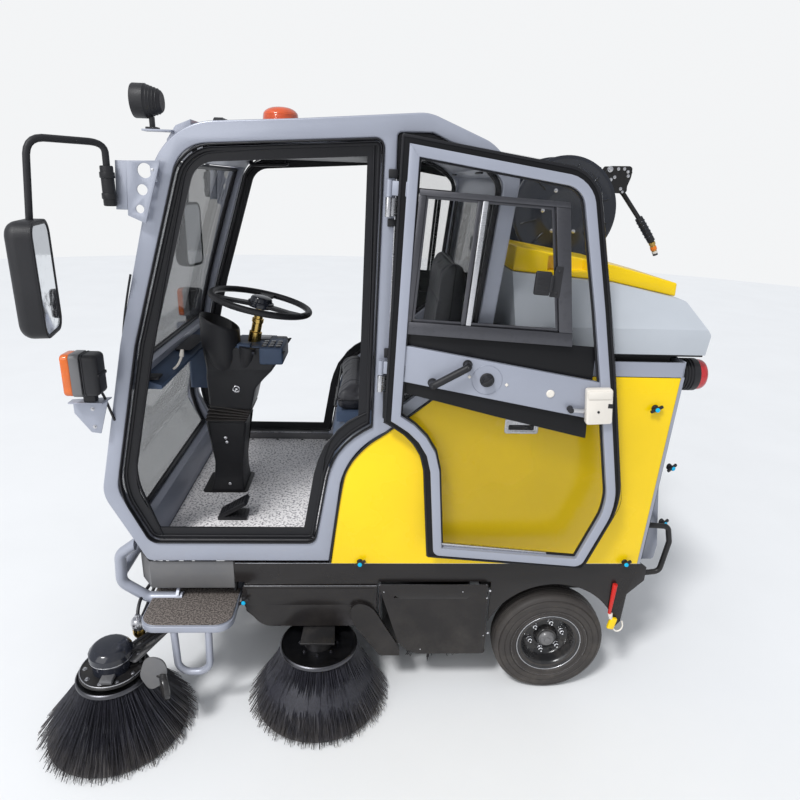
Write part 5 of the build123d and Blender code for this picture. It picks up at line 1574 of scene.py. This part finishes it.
def buildTailLamps(spot):
    y, z = spot
    start, end = (330, y, z), (424, y, z)
    bm = bmesh.new()
    shell = [(-2, 0), (-2, 50), (1, 54)]
    for rib in range(4):
        shell += [(5 + rib * 10, 54), (7 + rib * 10, 50.5), (10 + rib * 10, 50.5), (12 + rib * 10, 54)]
    shell += [(60, 54), (63, 52.5), (63, 50), (55, 49), (55, 0)]
    addTurned(bm, start, end, shell, 52)
    emit("tailLampShell", bm, "blackPlastic", both=True)
    bm = bmesh.new()
    lens = [(56, 0), (56, 51), (63, 51), (72, 51), (82, 49.5), (89, 45), (92.5, 40)]
    for ring in range(5):
        lens += [(94, 36 - ring * 7), (92.6, 32.5 - ring * 7)]
    lens.append((93.5, 0))
    addTurned(bm, start, end, lens, 52)
    emit("tailLampLens", bm, "redLens", replaces=("red_lenses",), both=True)


def buildBeacon(spot):
    x, y = spot
    bm = bmesh.new()
    addTurned(bm, (x, y, 0), (x, y, 1),
              [(1966, 0), (1966, 66), (1984, 66), (1988, 64.5), (1993, 64.5), (1997, 63), (2000, 62.5),
               (2000, 0)], 64)
    for across, along in around(3, 1, 0.6):
        addBolt(bm, (x + 64 * across, y + 64 * along, 1990), (across, along, 0), 4)
    emit("beaconBase", bm, "blackPlastic")
    bm = bmesh.new()
    dome = [(1999, 0), (1999, 61.5)]
    for rib in range(5):
        dome += [(2002 + rib * 4, 62 - rib * 0.5), (2004.4 + rib * 4, 60.6 - rib * 0.5)]
    dome += [(2024, 58), (2031, 52), (2037, 43), (2041, 32), (2043.3, 18), (2044, 0)]
    addTurned(bm, (x, y, 0), (x, y, 1), dome, 64)
    emit("beaconDome", bm, "beaconLens", smooth=25)


def buildMirrors(values):
    bm = bmesh.new()
    addRod(bm, (-1400, -562, 1724), (-1400, -562, 1828), 17, bevel=3)
    for z in (1742, 1796):
        addRod(bm, (-1400, -562, z), (-1400, -562, z + 16), 19.5, bevel=2)
    addTube(bm, [(-1400, -562, 1770), (-1398, -562, 1885), (-1522, -720, 1886), (-1548, -720, 1640)], 9, 90)
    emit("mirrorArm", bm, "blackPlastic", replaces=("mirrors",), smooth=60, both=True)
    # shell: a thick rounded pad of which only the back half is kept
    bm = bmesh.new()
    fresh = bmesh.new()
    outline = panelCorners((0, 0), values["width"], values["height"], values["round"])
    addSlab(fresh, outline, -62, 70, bevel=30, frameOf=Matrix(), segments=7)
    cut = bmesh.ops.bisect_plane(fresh, geom=fresh.verts[:] + fresh.edges[:] + fresh.faces[:],
                                 plane_co=(0, 0, 0), plane_no=(0, 0, 1), clear_outer=True)["geom_cut"]
    bmesh.ops.holes_fill(fresh, edges=[item for item in cut if isinstance(item, bmesh.types.BMEdge)])
    settle(bm, fresh, mirrorFrame)
    addSlab(bm, outline, -3, 5, bevel=2, band=11, frameOf=mirrorFrame)
    addSlab(bm, panelCorners((0, 62), 50, 64, 10), -65, -56, bevel=3, frameOf=mirrorFrame)
    emit("mirrorShell", bm, "blackPlastic", smooth=50, both=True)


# rear end: louvres and latches of the cover, tow pin, seams and the slots behind the roof
def buildRearEnd():
    bm = bmesh.new()
    tilt = Matrix.Rotation(radians(-4.6), 4, "Y")
    for row in range(9):
        z = 640 + row * 26
        x = 398 - (z - 560) * 0.143
        addBlock(bm, (x - 3, -150, z - 8), (x + 5, 150, z), 2, tilt)
    emit("rearLouvres", bm, "blackPlastic")
    bm = bmesh.new()
    for y in (-300, 300):
        addSlab(bm, rectangle(y - 42, 892, y + 42, 930, 8), 350, 358.5, "front", 2)
        addBlock(bm, (355, y - 26, 902), (365, y + 26, 916), 3)
    for y in (-460, 460):
        addBolt(bm, (312, y, 640), (1, 0, 0), 8)
        addBolt(bm, (327, y, 1130), (1, 0, 0), 8)
    emit("rearLatches", bm, "blackPlastic")
    bm = bmesh.new()
    addRod(bm, (396, 0, 436), (396, 0, 498), 9.5, sides=20, bevel=2)
    addRing(bm, (396, 0, 510), (0, 1, 0.3), 14, 3, 30, 8)
    for y in (-30, 30):
        addBolt(bm, (262, y, 468), upwards, 8)
    emit("towPin", bm, "plainSteel")
    bm = bmesh.new()
    addTube(bm, [(335, -478, 1262), (334, 0, 1262), (335, 478, 1262)], 3)
    for side in (-1, 1):
        addTube(bm, [(300, side * 500, 566), (330, side * 500, 1240)], 2.5)
    emit("rearSeams", bm, "sealRubber", smooth=60)
    # black strips in the slope behind the cab roof: painted shade standing in for its slots
    bm = bmesh.new()
    for y in (-300, 300):
        addBlock(bm, (-352, y - 60, 1845), (-346, y + 60, 1851), 1, Matrix.Rotation(radians(40), 4, "Y"))
    emit("roofSlots", bm, "blackPlastic")


buildSignals(lampValues["signal"])
buildWorkLights(lampValues["work"])
buildTailLamps(lampValues["tail"])
buildBeacon(lampValues["beacon"])
buildMirrors(mirrorValues)
buildRearEnd()
print("lamps and rear made:", pieceCount, "pieces")


stageValues = {"floorColour": (0.80, 0.81, 0.82), "worldColour": (0.90, 0.93, 0.98), "worldLight": 0.62,
               "backdrop": (0.90, 0.91, 0.92), "floorRadius": 14, "keyPower": 2.1, "keyAngle": 10,
               "keyTurn": (38, 0, -38), "fillPower": 90, "fillSize": 4, "fillPlace": (-3.0, -4.0, 3.2),
               "fillTurn": (60, 0, -38)}


def buildFloor(values):
    bm = bmesh.new()
    bmesh.ops.create_circle(bm, cap_ends=True, segments=64, radius=values["floorRadius"])
    mesh = bpy.data.meshes.new("floor")
    bm.to_mesh(mesh)
    bm.free()
    floor = bpy.data.objects.new("floor", mesh)
    bpy.context.scene.collection.objects.link(floor)
    ground = Finish("floorFinish", Roughness=0.7)
    tone = ground.remap(ground.noise(1.5, 5, 0.6), 0.3, 0.7)
    ground.set(BaseColor=ground.mix(tone, shade(values["floorColour"], 0.97), values["floorColour"]))
    floor.data.materials.append(ground.material)


def buildWorld(values):
    # soft light on the machine, a plain backdrop for the camera and through glass
    world = bpy.data.worlds.new("studio")
    bpy.context.scene.world = world
    world.use_nodes = True
    tree = world.node_tree
    soft = tree.nodes["Background"]
    soft.inputs[0].default_value = (*values["worldColour"], 1)
    soft.inputs[1].default_value = values["worldLight"]
    backdrop = tree.nodes.new("ShaderNodeBackground")
    backdrop.inputs[0].default_value = (*values["backdrop"], 1)
    ray = tree.nodes.new("ShaderNodeLightPath")
    seen = tree.nodes.new("ShaderNodeMath")
    seen.operation = "MAXIMUM"
    tree.links.new(ray.outputs["Is Camera Ray"], seen.inputs[0])
    tree.links.new(ray.outputs["Is Transmission Ray"], seen.inputs[1])
    choose = tree.nodes.new("ShaderNodeMixShader")
    tree.links.new(seen.outputs[0], choose.inputs[0])
    tree.links.new(soft.outputs[0], choose.inputs[1])
    tree.links.new(backdrop.outputs[0], choose.inputs[2])
    tree.links.new(choose.outputs[0], tree.nodes["World Output"].inputs[0])


def buildLights(values):
    key = bpy.data.lights.new("key", "SUN")
    key.energy = values["keyPower"]
    key.angle = radians(values["keyAngle"])
    keyObject = bpy.data.objects.new("key", key)
    keyObject.rotation_euler = [radians(part) for part in values["keyTurn"]]
    bpy.context.scene.collection.objects.link(keyObject)
    fill = bpy.data.lights.new("fill", "AREA")
    fill.energy = values["fillPower"]
    fill.size = values["fillSize"]
    fillObject = bpy.data.objects.new("fill", fill)
    fillObject.location = values["fillPlace"]
    fillObject.rotation_euler = [radians(part) for part in values["fillTurn"]]
    bpy.context.scene.collection.objects.link(fillObject)
    bpy.context.scene.view_settings.view_transform = "Standard"


cameraValues = {"lens": 28.17, "place": (-0.0425, -2.389, 1.810), "pitch": 19.11, "yaw": 3.41, "roll": 2.01}


def buildCamera(values):
    data = bpy.data.cameras.new("camera")
    data.lens = values["lens"]
    data.sensor_width = 36
    camera = bpy.data.objects.new("camera", data)
    aim = (Matrix.Rotation(radians(-values["yaw"]), 4, "Z")
           @ Matrix.Rotation(radians(90 - values["pitch"]), 4, "X")
           @ Matrix.Rotation(radians(values["roll"]), 4, "Z"))
    camera.matrix_world = Matrix.Translation(values["place"]) @ aim
    bpy.context.scene.collection.objects.link(camera)
    bpy.context.scene.camera = camera


buildFloor(stageValues)
buildWorld(stageValues)
buildLights(stageValues)
buildCamera(cameraValues)
print("stage and camera set")
